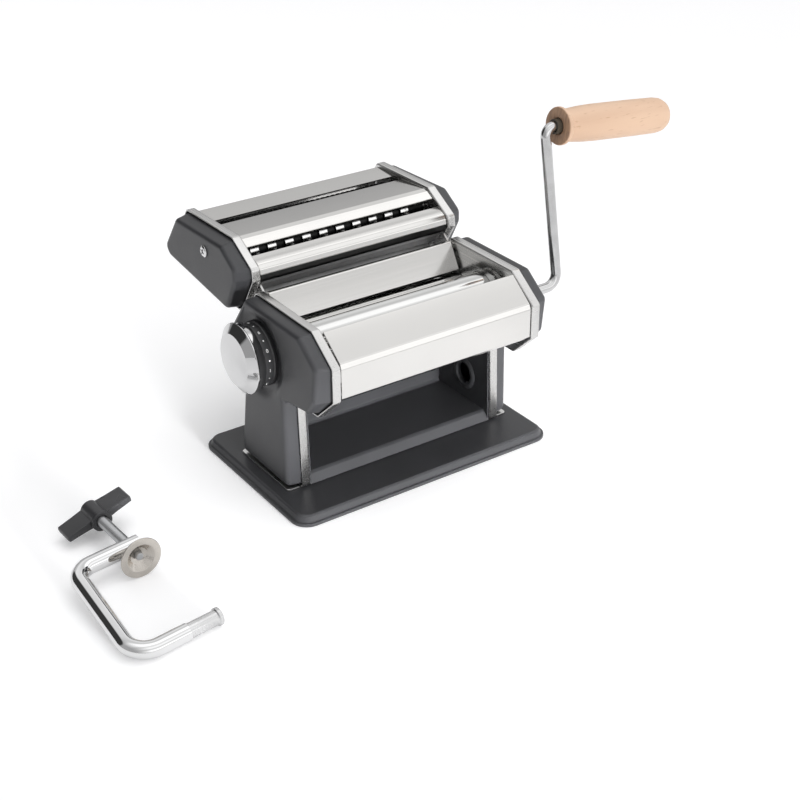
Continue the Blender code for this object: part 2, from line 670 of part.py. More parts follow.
# Crank and its grip
grip_dir = Vector((math.cos(GRIP_TILT), 0.0, -math.sin(GRIP_TILT)))
crank_low = Vector((CRANK_X, *CRANK_AXIS))
crank_top = Vector((CRANK_X - CRANK_LEAN, *CRANK_TOP))
grip_start = crank_top + grip_dir * 10.5
rod_start = (SOCKET_FLOOR + 0.4, *CRANK_AXIS)
crank_path = bent([rod_start, crank_low, crank_top, crank_top + grip_dir * 90.0], (9.0, 6.0))
crank = tube("crank_rod", crank_path, ROD_R, 3)
crank.data.transform(crank.matrix_world)
finish(crank, CHROME, True)
grip = [
    (0.0, 86.0), (ROD_R + 0.4, 86.0), (ROD_R + 0.4, 9.0), (5.3, 9.0), (5.3, 0.0), (12.4, 0.0), (12.6, 1.6),
    (12.2, 3.4), (10.9, 4.4), (10.5, 7.0), (11.3, 16.0), (12.1, 28.0), (12.3, 60.0), (12.1, 85.5), (11.0, 90.5),
    (8.0, 93.7), (0.0, GRIP_LENGTH),
]
finish(turned("grip", grip, grip_start, grip_dir, 16), WOOD, True)
sleeve = [(ROD_R + GAP, -3.3), (5.0, -3.3), (5.0, 8.7), (ROD_R + GAP, 8.7)]
finish(turned("grip_bush", sleeve, grip_start, grip_dir, 16, True), BLACK, True)

# Cutter attachment: side plates with a tongue that slides behind the head
cutter_round = rounded(CUTTER_OUTLINE, 4.0, 2)
cutter_inner = rounded(inset(CUTTER_OUTLINE, FRAME_SHEET), 4.0, 2)
cutter_rings = cover_rings(CUTTER_OUTLINE, CUTTER_RIDGE, 4.0)
SHAFT_R = 3.0
SOCKET_R = 5.0
SCREW_SEAT = COVER_FACE + GAP
CUTTER_RODS = {
    "cutter_rod_middle": CUTTER_ROD,
    "cutter_rod_rear": (108.0, 127.0),
    "cutter_rod_front": (44.5, 113.5),
}
tongue = [(15.4, 123.4), (25.3, 131.9), (37.6, 112.6), (26.0, 107.6)]
tongue_root = [(23.0, 128.4), (25.6, 130.0), (35.2, 114.8), (32.6, 113.2)]
for side, label in ((-1, "left"), (1, "right")):
    plate = slab("cutter_side_" + label, [cutter_round], side * FRAME_IN, side * FLANGE_OUT)
    hollow = slab("hollow", [cutter_inner], side * (FRAME_IN + FRAME_SHEET), side * (FLANGE_OUT + 5.0))
    combine(plate, hollow, "DIFFERENCE")
    combine(plate, slab("root", [tongue_root], side * (FRAME_IN - 0.9), side * (FRAME_IN + 0.7)), "UNION")
    combine(plate, slab("tongue", [tongue], side * (FRAME_IN - 1.5), side * (FRAME_IN - GAP)), "UNION")
    spots = [circle(axis, SHAFT_R + GAP, 12) for axis in (NARROW_FRONT, NARROW_REAR, WIDE_FRONT, WIDE_REAR)]
    spots += [circle(axis, 2.0 + GAP, 12) for axis in CUTTER_RODS.values()]
    combine(plate, holes(spots, side * (FRAME_IN - 4.0), side * (FRAME_IN + 2.5)), "DIFFERENCE")
    finish(plate, STEEL)
    cover = shell("cutter_cover_" + label, side, cutter_rings, COVER_WALL)
    spots = [circle(CUTTER_ROD, 1.5, 12)]
    if side > 0:
        spots += [circle(NARROW_FRONT, SOCKET_R + 0.6, 16), circle(WIDE_REAR, SOCKET_R + 0.6, 16)]
    combine(cover, holes(spots, side * (COVER_FACE - 3.0), side * (COVER_FACE + 3.0)), "DIFFERENCE")
    finish(cover, PAINT)
    screw = [
        (0.0, side * (SCREW_SEAT - 5.4)), (1.2, side * (SCREW_SEAT - 5.4)), (1.2, side * SCREW_SEAT),
        (4.0, side * SCREW_SEAT), (3.6, side * (SCREW_SEAT + 0.9)), (0.0, side * (SCREW_SEAT + 1.3)),
    ]
    finish(turned("cutter_screw_" + label, screw, on_axis(CUTTER_ROD), segments=12), CHROME, True)

# Cutter strips, rods and combs
rear_strip = [(105.0, 145.0), (103.9, 151.6), (102.6, 152.3), (82.4, 151.7)]
finish(folded("cutter_strip_rear", rear_strip, HEAD_SHEET, -SHEET_HALF, SHEET_HALF), STEEL)
roof_strip = [(75.2, 149.4), (74.4, 151.7), (46.0, 153.7), (42.4, 153.0), (36.2, 149.6), (36.6, 148.0)]
finish(folded("cutter_strip_roof", roof_strip, HEAD_SHEET, -SHEET_HALF, SHEET_HALF), STEEL)
front_strip = [
    (32.6, 143.5), (31.6, 145.0), (21.9, 142.1), (20.2, 139.0), (19.9, 136.4), (20.0, 133.0), (20.8, 131.0),
    (25.6, 127.0), (31.0, 120.5),
]
front_guard = folded("cutter_strip_front", front_strip, HEAD_SHEET, -SHEET_HALF, SHEET_HALF)
for side in (-1, 1):
    ends = sorted((side * (FRAME_IN - 1.9), side * (FRAME_IN + 1.0)))
    notch = block("notch_%s" % ("left" if side < 0 else "right"), (ends[0], 18.0, 118.0), (ends[1], 34.0, 130.2))
    combine(front_guard, notch, "DIFFERENCE")
finish(front_guard, STEEL)
for label, axis in CUTTER_RODS.items():
    if label == "cutter_rod_middle":
        end = SCREW_SEAT - 2.4
        bore = [
            (0.0, 3.6 - end), (1.5, 3.6 - end), (1.5, -end), (2.0, -end), (2.0, end), (1.5, end),
            (1.5, end - 3.6), (0.0, end - 3.6),
        ]
        finish(turned(label, bore, on_axis(axis), segments=12), ZINC, True)
    else:
        ends = [(-ROD_END, -SHEET_HALF, 2.0), (-SHEET_HALF, SHEET_HALF, 2.6), (SHEET_HALF, ROD_END, 2.0)]
        finish(rod(label, axis, ends, 10), ZINC, True)


def ring_centres(pitch, offset):
    """X positions of a grooved roller's rings."""
    reach = int(CUTTER_HALF / pitch) + 2
    spots = [offset + pitch * k for k in range(-reach, reach + 1)]
    return [x for x in spots if abs(x) + pitch / 2 < CUTTER_HALF]


def cutter(name, axis, outer, core, pitch, ring, offset, socket, segments):
    """A grooved roller on its shaft, with a crank socket at its right end if it drives."""
    end, shoulder, mouth = FRAME_IN + 7.6, FRAME_IN - 1.4, COVER_FACE - GAP
    profile = [(0.0, -end), (SHAFT_R, -end), (SHAFT_R, -shoulder), (core, -shoulder)]
    for x in ring_centres(pitch, offset):
        profile += [(core, x - ring / 2), (outer, x - ring / 2), (outer, x + ring / 2), (core, x + ring / 2)]
    profile += [(core, shoulder), (SHAFT_R, shoulder)]
    if socket:
        profile += [(SHAFT_R, end + 0.4), (SOCKET_R, end + 1.0), (SOCKET_R, mouth), (ROD_R + GAP, mouth)]
        profile += [(ROD_R + GAP, end + 1.4), (0.0, end + 1.4)]
    else:
        profile += [(SHAFT_R, end), (0.0, end)]
    return turned(name, profile, on_axis(axis), segments=segments)


narrow = dict(outer=NARROW_R, core=NARROW_CORE, pitch=NARROW_PITCH, ring=NARROW_RING, segments=8)
finish(cutter("narrow_cutter_front", NARROW_FRONT, offset=0.0, socket=True, **narrow), ZINC, True)
finish(cutter("narrow_cutter_rear", NARROW_REAR, offset=NARROW_PITCH / 2, socket=False, **narrow), ZINC, True)
wide = dict(outer=WIDE_R, core=WIDE_CORE, pitch=WIDE_PITCH, ring=WIDE_RING, segments=12)
finish(cutter("wide_cutter_front", WIDE_FRONT, offset=WIDE_SHIFT, socket=False, **wide), ZINC, True)
finish(cutter("wide_cutter_rear", WIDE_REAR, offset=WIDE_SHIFT + WIDE_PITCH / 2, socket=True, **wide), ZINC, True)
for label, pair, teeth in (("narrow", (NARROW_FRONT, NARROW_REAR), 12), ("wide", (WIDE_FRONT, WIDE_REAR), 14)):
    centres = math.dist(*pair)
    angle = angle_between(*pair)
    shape = dict(teeth=teeth, pitch_r=centres / 2, tall=0.95, deep=1.35, bore=SHAFT_R + GAP,
                 x0=FRAME_IN + 2.4, x1=FRAME_IN + 6.8)
    finish(gear(label + "_gear_front", turn=angle, axis=pair[0], **shape), ZINC)
    finish(gear(label + "_gear_rear", turn=angle + math.pi + math.pi / teeth, axis=pair[1], **shape), ZINC)


def comb(name, axis, core, outer, tilt, away, pitch, ring, offset):
    """A flat comb under a grooved roller, its fingers reaching into the grooves."""
    finger = (pitch - ring) * 0.55
    near, edge, far = -2.0 * away, (outer + 0.4) * away, (outer + 6.0) * away
    points = [(-CUTTER_HALF, far), (-CUTTER_HALF, edge)]
    for x in [c + pitch / 2 for c in ring_centres(pitch, offset)][:-1]:
        points += [(x - finger / 2, edge), (x - finger / 2, near), (x + finger / 2, near), (x + finger / 2, edge)]
    points += [(CUTTER_HALF, edge), (CUTTER_HALF, far)]
    curve = bpy.data.curves.new(name, "CURVE")
    curve.dimensions = "2D"
    curve.fill_mode = "BOTH"
    curve.extrude = 0.35 * MM
    spline = curve.splines.new("POLY")
    spline.points.add(len(points) - 1)
    for point, (x, d) in zip(spline.points, points):
        point.co = (x * MM, d * MM, 0.0, 1.0)
    spline.use_cyclic_u = True
    obj = bpy.data.objects.new(name, curve)
    drop = core + 0.75
    obj.rotation_euler = (tilt, 0.0, 0.0)
    obj.location = (0.0, (axis[0] + drop * math.sin(tilt)) * MM, (axis[1] - drop * math.cos(tilt)) * MM)
    return finish(settled(obj), STEEL)


comb("comb_narrow_front", NARROW_FRONT, NARROW_CORE, NARROW_R, 0.0, -1, NARROW_PITCH, NARROW_RING, 0.0)
comb("comb_narrow_rear", NARROW_REAR, NARROW_CORE, NARROW_R, 0.0, 1, NARROW_PITCH, NARROW_RING, NARROW_PITCH / 2)
comb("comb_wide_front", WIDE_FRONT, WIDE_CORE, WIDE_R, WIDE_ANGLE + 0.5, -1, WIDE_PITCH, WIDE_RING, WIDE_SHIFT)
comb("comb_wide_rear", WIDE_REAR, WIDE_CORE, WIDE_R, WIDE_ANGLE - 0.3, 1, WIDE_PITCH, WIDE_RING,
     WIDE_SHIFT + WIDE_PITCH / 2)

# Table clamp: bent bar with a threaded end, screw with wing handle, cupped pad
screw_dir = (CLAMP_PAD - CLAMP_HUB).normalized()
clamp_axis = CLAMP_HUB + screw_dir * ((-36.4 - CLAMP_HUB.y) / screw_dir.y)
clamp = tube("clamp_frame", bent(CLAMP_PATH, (13.0, 13.0), 4), CLAMP_R, 2)
clamp.data.transform(clamp.matrix_world)
clamp.matrix_world.identity()
tip_dir = (Vector(CLAMP_PATH[0]) - Vector(CLAMP_PATH[1])).normalized()
nose = [(0.0, -2.0), (4.6, -2.0), (4.6, 19.3), (5.6, 19.3), (5.6, 22.0), (0.0, 22.0)]
combine(clamp, turned("nose", nose, CLAMP_PATH[0], tip_dir, 16), "UNION")
bore = [(0.0, -12.0), (CLAMP_SCREW_R + GAP, -12.0), (CLAMP_SCREW_R + GAP, 12.0), (0.0, 12.0)]
combine(clamp, turned("bore", bore, clamp_axis, screw_dir, 16), "DIFFERENCE")
finish(clamp, CHROME, True)
screw_length = (CLAMP_PAD - CLAMP_HUB).length
screw_profile = [
    (0.0, 1.0), (CLAMP_SCREW_R, 1.0), (CLAMP_SCREW_R, screw_length - 4.0), (2.4, screw_length - 3.4),
    (2.4, screw_length + 2.2), (0.0, screw_length + 2.2),
]
finish(turned("clamp_screw", screw_profile, CLAMP_HUB, screw_dir, 16), ZINC, True)
pad = [
    (2.7, screw_length - 3.0), (5.2, screw_length - 3.0), (6.4, screw_length - 1.0), (9.6, screw_length + 2.6),
    (13.3, screw_length + 2.6), (13.3, screw_length + 4.0), (9.0, screw_length + 4.0), (5.4, screw_length + 0.4),
    (2.7, screw_length - 0.6),
]
finish(turned("clamp_pad", pad, CLAMP_HUB, screw_dir, 16, True), ZINC, True)
WING_HALF = 23.0
WING_TILT = math.radians(16.5)
wing_axis = Vector((math.cos(WING_TILT), 0.05, math.sin(WING_TILT))).normalized()
hub_profile = [
    (0.0, -9.5), (5.4, -9.5), (6.3, -8.6), (6.3, 6.0), (6.8, 6.4), (6.8, 9.0), (CLAMP_SCREW_R + GAP, 9.0),
    (CLAMP_SCREW_R + GAP, 0.6), (0.0, 0.6),
]
handle = turned("clamp_handle", hub_profile, CLAMP_HUB, screw_dir, 14)
handle.data.transform(handle.matrix_world)
handle.matrix_world.identity()
wing_up = screw_dir.cross(wing_axis).normalized()
bm = bmesh.new()
corners = []
for along, deep, tall in ((-WING_HALF, 7.6, 2.2), (0.0, 7.6, 3.2), (WING_HALF, 7.6, 2.2)):
    ring = []
    for d, t in ((-deep, -tall), (deep, -tall), (deep, tall), (-deep, tall)):
        spot = CLAMP_HUB + wing_axis * along + screw_dir * (d - 1.6) + wing_up * t
        ring.append(bm.verts.new(spot * MM))
    corners.append(ring)
for first, second in zip(corners, corners[1:]):
    for k in range(4):
        bm.faces.new((first[k], first[(k + 1) % 4], second[(k + 1) % 4], second[k]))
bm.faces.new(corners[0])
bm.faces.new(corners[-1])
bmesh.ops.recalc_face_normals(bm, faces=bm.faces)
mesh = bpy.data.meshes.new("wings")
bm.to_mesh(mesh)
bm.free()
wings = bpy.data.objects.new("wings", mesh)
pocket = turned("pocket", [(0.0, 0.6), (CLAMP_SCREW_R + GAP, 0.6), (CLAMP_SCREW_R + GAP, 12.0), (0.0, 12.0)],
                CLAMP_HUB, screw_dir, 14)
combine(handle, wings, "UNION")
combine(handle, pocket, "DIFFERENCE")
finish(handle, BLACK)
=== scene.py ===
"""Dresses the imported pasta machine: its fine surfaces, materials, light and camera.

Lengths in the sections below are in millimetres, and become metres where a mesh is made.
"""
import math

import bmesh
import bpy
import numpy as np
from mathutils import Matrix, Vector
from mathutils.geometry import delaunay_2d_cdt


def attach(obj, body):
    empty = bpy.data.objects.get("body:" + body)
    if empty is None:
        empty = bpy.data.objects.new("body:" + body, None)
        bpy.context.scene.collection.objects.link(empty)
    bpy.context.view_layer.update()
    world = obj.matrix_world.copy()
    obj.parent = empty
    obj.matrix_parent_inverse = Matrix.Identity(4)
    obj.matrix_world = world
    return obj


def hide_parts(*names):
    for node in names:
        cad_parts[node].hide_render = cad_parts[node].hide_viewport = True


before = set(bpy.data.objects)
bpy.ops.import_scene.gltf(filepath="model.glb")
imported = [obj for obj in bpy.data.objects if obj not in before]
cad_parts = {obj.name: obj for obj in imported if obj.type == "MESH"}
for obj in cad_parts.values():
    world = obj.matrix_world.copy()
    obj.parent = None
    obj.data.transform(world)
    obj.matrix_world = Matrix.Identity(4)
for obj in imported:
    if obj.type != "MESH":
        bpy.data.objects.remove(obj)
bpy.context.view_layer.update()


# Base plate
# A pressed steel sheet with a flat deck, a creased shoulder all round and a rim folded in
# under it. It is dark powder coat, made as rings of a rounded rectangle.
def softened(line, radius, steps=5):
    """An open line whose inner corners become arcs that touch both sides: one radius or one each."""
    radii = radius if isinstance(radius, (list, tuple)) else [radius] * (len(line) - 2)
    result = [tuple(line[0])]
    for before, here, after, r in zip(line, line[1:], line[2:], radii):
        before, here, after = Vector(before), Vector(here), Vector(after)
        u = (before - here).normalized()
        v = (after - here).normalized()
        half = u.angle(v) / 2
        if r <= 0 or half > math.radians(89):
            result.append(tuple(here))
            continue
        reach = min(r / math.tan(half), (before - here).length * 0.49, (after - here).length * 0.49)
        bow = reach * math.tan(half)
        centre = here + (u + v).normalized() * (bow / math.sin(half))
        start = here + u * reach - centre
        end = here + v * reach - centre
        sweep = start.angle(end)
        t = np.linspace(0.0, 1.0, steps + 1)[:, None]
        arc = np.array(start) * np.sin((1 - t) * sweep) + np.array(end) * np.sin(t * sweep)
        result += [tuple(p) for p in np.array(centre) + arc / math.sin(sweep)]
    result.append(tuple(line[-1]))
    return result


class Build:
    """Gathers one piece's surfaces in millimetres: grids of points and flat caps."""

    def __init__(self):
        self.verts = np.zeros((0, 3))
        self.faces = []

    def grid(self, points, wrap_rows=False, wrap_cols=True):
        """A surface through rows of points: each point joins the next in its row and in its column."""
        points = np.asarray(points, dtype=float)
        rows, cols = points.shape[:2]
        number = len(self.verts) + np.arange(rows * cols).reshape(rows, cols)
        self.verts = np.vstack([self.verts, points.reshape(-1, 3)])
        if wrap_rows:
            number = np.vstack([number, number[:1]])
        if wrap_cols:
            number = np.hstack([number, number[:, :1]])
        quads = np.stack([number[:-1, :-1], number[:-1, 1:], number[1:, 1:], number[1:, :-1]], axis=-1)
        self.faces += [tuple(q) for q in quads.reshape(-1, 4).tolist()]
        return self

    def cap(self, ring):
        """One face through a ring of points."""
        base = len(self.verts)
        self.verts = np.vstack([self.verts, np.asarray(ring, dtype=float)])
        self.faces.append(tuple(range(base, base + len(ring))))
        return self

    def mesh(self, name, sharp=38.0):
        """The welded mesh, outside out and smooth except over edges sharper than an angle."""
        mesh = bpy.data.meshes.new(name)
        mesh.from_pydata((self.verts * 0.001).tolist(), [], self.faces)
        bm = bmesh.new()
        bm.from_mesh(mesh)
        bmesh.ops.remove_doubles(bm, verts=bm.verts, dist=2e-6)
        bmesh.ops.dissolve_degenerate(bm, edges=bm.edges, dist=1e-7)
        bmesh.ops.recalc_face_normals(bm, faces=bm.faces)
        if bm.calc_volume(signed=True) < 0:
            bmesh.ops.reverse_faces(bm, faces=bm.faces)
        bm.to_mesh(mesh)
        bm.free()
        mesh.shade_smooth()
        mesh.set_sharp_from_angle(angle=math.radians(sharp))
        return mesh


def piece(name, mesh, material, body, *nodes, slot=None):
    """Shows a mesh as a piece that rides on a body and stands for CAD nodes."""
    obj = bpy.data.objects.new(name, mesh)
    bpy.context.scene.collection.objects.link(obj)
    mesh.materials.clear()
    mesh.materials.append(material)
    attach(obj, body)
    if nodes:
        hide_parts(*nodes)
    return obj


def nodes_for(name, colour, roughness, metallic):
    """A new material, its node tree and its shader."""
    mat = bpy.data.materials.new(name)
    mat.use_nodes = True
    tree = mat.node_tree
    shader = tree.nodes["Principled BSDF"]
    shader.inputs["Base Color"].default_value = (*colour, 1.0)
    shader.inputs["Roughness"].default_value = roughness
    shader.inputs["Metallic"].default_value = metallic
    return mat, tree, shader


def noise(tree, stretch, scale, detail=3.0, turn=(0.0, 0.0, 0.0)):
    """Noise in object space, stretched along the axes."""
    place = tree.nodes.new("ShaderNodeTexCoord")
    mapping = tree.nodes.new("ShaderNodeMapping")
    mapping.inputs["Scale"].default_value = stretch
    mapping.inputs["Rotation"].default_value = turn
    texture = tree.nodes.new("ShaderNodeTexNoise")
    texture.inputs["Scale"].default_value = scale
    texture.inputs["Detail"].default_value = detail
    tree.links.new(place.outputs["Object"], mapping.inputs["Vector"])
    tree.links.new(mapping.outputs["Vector"], texture.inputs["Vector"])
    return texture.outputs["Fac"]


def levels(tree, value, low, high, out_low, out_high):
    """Maps a value from one range to another."""
    node = tree.nodes.new("ShaderNodeMapRange")
    node.inputs["From Min"].default_value = low
    node.inputs["From Max"].default_value = high
    node.inputs["To Min"].default_value = out_low
    node.inputs["To Max"].default_value = out_high
    tree.links.new(value, node.inputs["Value"])
    return node.outputs["Result"]


def blend_colour(tree, value, first, second):
    """A colour between two, by a value."""
    node = tree.nodes.new("ShaderNodeMix")
    node.data_type = "RGBA"
    for socket, colour in (("A", first), ("B", second)):
        if isinstance(colour, tuple):
            node.inputs[socket].default_value = (*colour, 1.0)
        else:
            tree.links.new(colour, node.inputs[socket])
    tree.links.new(value, node.inputs["Factor"])
    return node.outputs["Result"]


def joined(tree, first, second, how="ADD"):
    """Two values put through one operation, each a number or a socket."""
    node = tree.nodes.new("ShaderNodeMath")
    node.operation = how
    for socket, value in zip(node.inputs, (first, second)):
        if isinstance(value, (int, float)):
            socket.default_value = value
        else:
            tree.links.new(value, socket)
    return node.outputs[0]


def bump(tree, shader, value, height, strength=1.0):
    """Raises the surface by a value times a height in metres."""
    node = tree.nodes.new("ShaderNodeBump")
    node.inputs["Strength"].default_value = strength
    node.inputs["Distance"].default_value = height
    tree.links.new(value, node.inputs["Height"])
    tree.links.new(node.outputs["Normal"], shader.inputs["Normal"])


def painted_steel():
    """Dark grey powder coat: fine orange peel, cloudy sheen and a little dust."""
    mat, tree, shader = nodes_for("dark_coat", (0.060, 0.061, 0.066), 0.42, 0.0)
    cloud = noise(tree, (1, 1, 1), 35.0, 4.0)
    speck = noise(tree, (1, 1, 1), 1400.0, 2.0)
    peel = noise(tree, (1, 1, 1), 650.0, 2.0)
    patches = levels(tree, cloud, 0.3, 0.7, 0.0, 1.0)
    tone = blend_colour(tree, patches, (0.034, 0.0345, 0.037), (0.041, 0.0415, 0.045))
    tree.links.new(tone, shader.inputs["Base Color"])
    sheen = levels(tree, cloud, 0.3, 0.7, 0.33, 0.42)
    rough = joined(tree, sheen, levels(tree, speck, 0.3, 0.7, -0.02, 0.02))
    tree.links.new(rough, shader.inputs["Roughness"])
    bump(tree, shader, joined(tree, peel, speck), 0.000008, 0.6)
    shader.inputs["Specular IOR Level"].default_value = 0.45
    return mat


def base_ring(step_in, z, count=14):
    """Points round the base at a height, a step in from its edge: quarter circles with straights between."""
    half_x, half_y = base_half_x - step_in, base_half_y - step_in
    corner = base_corner - min(step_in, 5.0)
    a = np.radians(np.linspace(0.0, 90.0, count + 1))
    rows = []
    for sx, sy, start in ((1, 1, 0.0), (-1, 1, 0.5), (-1, -1, 1.0), (1, -1, 1.5)):
        turn = a + start * math.pi
        x = sx * (half_x - corner) + corner * np.cos(turn)
        y = sy * (half_y - corner) + corner * np.sin(turn)
        rows.append(np.stack([x, y, np.full(count + 1, z)], axis=1))
    return np.vstack(rows)


coat = painted_steel()
base_half_x, base_half_y, base_corner = 100.5, 65.5, 12.0
top_line = softened([
    (6.0, 1.0), (6.0, 0.0), (0.1, 0.0), (0.1, 2.5), (1.9, 2.7), (3.2, 5.9), (4.6, 6.8), (9.0, 6.8),
], [0.3, 0.8, 0.5, 0.3, 0.5, 0.7], 5)
under_line = [(6.0, 1.0), (1.2, 1.0), (1.2, 2.2), (4.4, 5.8), (9.0, 5.8)]
base = Build()
for line in (top_line, under_line):
    rings = [base_ring(step_in, z) for step_in, z in line]
    base.grid(rings)
    base.cap(rings[-1])
piece("base_deck", base.mesh("base_deck", 30.0), coat, "frame", "base_plate", slot="dark_paint")


# Tray
# One painted sheet: a ramp rising from the deck, a level floor and a rear wall, with a
# lining on the inside of each leg. The lining on the right is cut round the clamp's eyelet.
def rounded(outline, radius, steps=7):
    """A closed outline whose corners become arcs that touch both sides."""
    first, last = Vector(outline[0]), Vector(outline[-1])
    middle = (first + last) / 2
    return softened([middle, *outline, middle], radius, steps)[1:-1]


def inset(outline, distance):
    """Moves every side of a closed outline inwards, each corner along the mean of its two normals."""
    pts = np.array(outline)
    area = np.sum(pts[:, 0] * np.roll(pts[:, 1], -1) - np.roll(pts[:, 0], -1) * pts[:, 1])
    turn = 1.0 if area > 0 else -1.0
    before = pts - np.roll(pts, 1, axis=0)
    after = np.roll(pts, -1, axis=0) - pts
    n1 = np.stack([-before[:, 1], before[:, 0]], 1) / np.linalg.norm(before, axis=1)[:, None]
    n2 = np.stack([-after[:, 1], after[:, 0]], 1) / np.linalg.norm(after, axis=1)[:, None]
    middle = n1 + n2
    middle /= np.linalg.norm(middle, axis=1)[:, None]
    length = distance * turn / np.maximum(0.3, np.sum(middle * n1, axis=1))
    return [tuple(p) for p in pts + middle * length[:, None]]


def circle(centre, radius, count=64):
    """Points round a circle in the YZ plane."""
    a = np.linspace(0, 2 * np.pi, count, endpoint=False)
    return [(centre[0] + radius * c, centre[1] + radius * s) for c, s in zip(np.cos(a), np.sin(a))]


def inside(points, outline):
    """For each point, whether a ray from it crosses a closed outline an odd number of times."""
    pts = np.asarray(points)
    poly = np.asarray(outline)
    nxt = np.roll(poly, -1, axis=0)
    x, y = pts[:, 0][:, None], pts[:, 1][:, None]
    crosses = (poly[:, 1] > y) != (nxt[:, 1] > y)
    slope = (nxt[:, 0] - poly[:, 0]) / np.where(nxt[:, 1] == poly[:, 1], 1e-12, nxt[:, 1] - poly[:, 1])
    return np.sum(crosses & (x < poly[:, 0] + (y - poly[:, 1]) * slope), axis=1) % 2 == 1


def upright(loop, x):
    """A loop of Y, Z points stood at an X."""
    loop = np.asarray(loop, dtype=float)
    return np.column_stack([np.full(len(loop), float(x)), loop])


def punched(build, outer, holes, x, extra=(), depth=None):
    """Adds a face at an X with holes, in triangles; depth gives the X of each point instead."""
    loops = [outer, *holes]
    verts = []
    edges = []
    for loop in loops:
        start = len(verts)
        verts += [Vector(p) for p in loop]
        edges += [(start + k, start + (k + 1) % len(loop)) for k in range(len(loop))]
    verts += [Vector(p) for p in extra]
    coords, _, tris, _, _, _ = delaunay_2d_cdt(verts, edges, [], 0, 1e-7)
    coords = np.array([(c.x, c.y) for c in coords])
    tris = np.array(tris)
    middle = coords[tris].mean(axis=1)
    keep = inside(middle, outer)
    for hole in holes:
        keep &= ~inside(middle, hole)
    base = len(build.verts)
    xs = np.full(len(coords), float(x)) if depth is None else depth(coords)
    build.verts = np.vstack([build.verts, np.column_stack([xs, coords])])
    build.faces += [tuple(t) for t in (tris[keep] + base).tolist()]


def folded(line, thickness, bend, x0, x1, edge=0.25):
    """A bent sheet: a line in YZ with round bends, its thickness to the left, carried along X."""
    line = np.array(softened(line, bend, 8))
    steps = np.diff(line, axis=0)
    n = np.stack([-steps[:, 1], steps[:, 0]], 1) / np.linalg.norm(steps, axis=1)[:, None]
    n1 = np.vstack([n[:1], n])
    n2 = np.vstack([n, n[-1:]])
    middle = n1 + n2
    middle /= np.linalg.norm(middle, axis=1)[:, None]
    other = line + middle * (thickness / np.sum(middle * n1, axis=1))[:, None]
    outline = np.vstack([line, other[::-1]])
    small = inset(outline, edge)
    build = Build()
    rings = [upright(small, x0), upright(outline, x0 + edge), upright(outline, x1 - edge), upright(small, x1)]
    build.grid(rings)
    build.cap(rings[0])
    build.cap(rings[-1])
    return build


sheet_end = 72.5
lining_faces = (71.6, sheet_end)
tray_line = [(21.4, 60.0), (26.2, 15.4), (24.4, 13.8), (-26.0, 13.8), (-28.0, 12.8), (-32.0, 7.75)]
tray = folded(tray_line, 0.9, [1.6, 1.6, 2.6, 2.0], -sheet_end, sheet_end, 0.2)
lining = rounded([(-31.4, 7.1), (-29.4, 66.0), (20.9, 66.0), (26.0, 13.0), (26.0, 7.1)], 0.6, 3)
eyelet_centre = (-3.9, 33.0)
for side in (-1, 1):
    holes = [circle(eyelet_centre, 10.2, 48)] if side > 0 else []
    for x in lining_faces:
        punched(tray, lining, holes, side * x)
    for loop in [lining, *holes]:
        tray.grid([upright(loop, side * x) for x in lining_faces])
piece("tray_sheet", tray.mesh("tray_sheet"), coat, "frame", "tray", slot="dark_paint")


# Side frames
# Each is a bright rolled steel plate, head and leg in one, with a flange turned out all
# round and a foot at the bottom. Rings run round the flange and close on the holed plate.
def rolled_steel(name, along, low=0.10, high=0.17, colour=(0.765, 0.755, 0.735)):
    """Bright rolled sheet: hair-fine grain along one axis and faint wipe marks."""
    mat, tree, shader = nodes_for(name, colour, 0.15, 1.0)
    stretch = [700.0, 700.0, 700.0]
    stretch[along] = 7.0
    grain = noise(tree, tuple(stretch), 1.0, 2.0)
    wipe = noise(tree, (1, 1, 1), 22.0, 5.0)
    rough = joined(tree, levels(tree, grain, 0.3, 0.7, low, high), levels(tree, wipe, 0.35, 0.7, -0.01, 0.03))
    tree.links.new(rough, shader.inputs["Roughness"])
    shade = tuple(c * 0.95 for c in colour)
    tone = blend_colour(tree, levels(tree, wipe, 0.3, 0.75, 0.0, 1.0), colour, shade)
    tree.links.new(tone, shader.inputs["Base Color"])
    bump(tree, shader, grain, 0.0000016, 0.5)
    return mat


def flanged_plate(outline, radius, holes, side):
    """A plate with its flange turned outwards, as rings set in step by step from the outline."""
    profile = softened([
        (5.0, plate_in), (0.0, plate_in), (0.0, flange_tip),
        (1.1, flange_tip), (1.1, plate_out), (5.0, plate_out),
    ], [1.3, 0.45, 0.45, 0.4], 5)
    build = Build()
    rings = [upright(rounded(inset(outline, d), max(radius - d * 0.5, 0.8), 7), side * x) for d, x in profile]
    build.grid(rings)
    for ring, x in ((rings[0], plate_in), (rings[-1], plate_out)):
        punched(build, ring[:, 1:], holes, side * x)
    for hole in holes:
        build.grid([upright(hole, side * x) for x in (plate_in, plate_out)])
    return build


def slot_loop(first, second, radius, count=20):
    """Outline of a slot: a half circle round each of two centres."""
    angle = math.atan2(second[1] - first[1], second[0] - first[0])
    a = np.linspace(-math.pi / 2, math.pi / 2, count + 1)
    far = np.column_stack([second[0] + radius * np.cos(a + angle), second[1] + radius * np.sin(a + angle)])
    near = np.column_stack([first[0] - radius * np.cos(a + angle), first[1] - radius * np.sin(a + angle)])
    return [tuple(p) for p in np.vstack([far, near])]


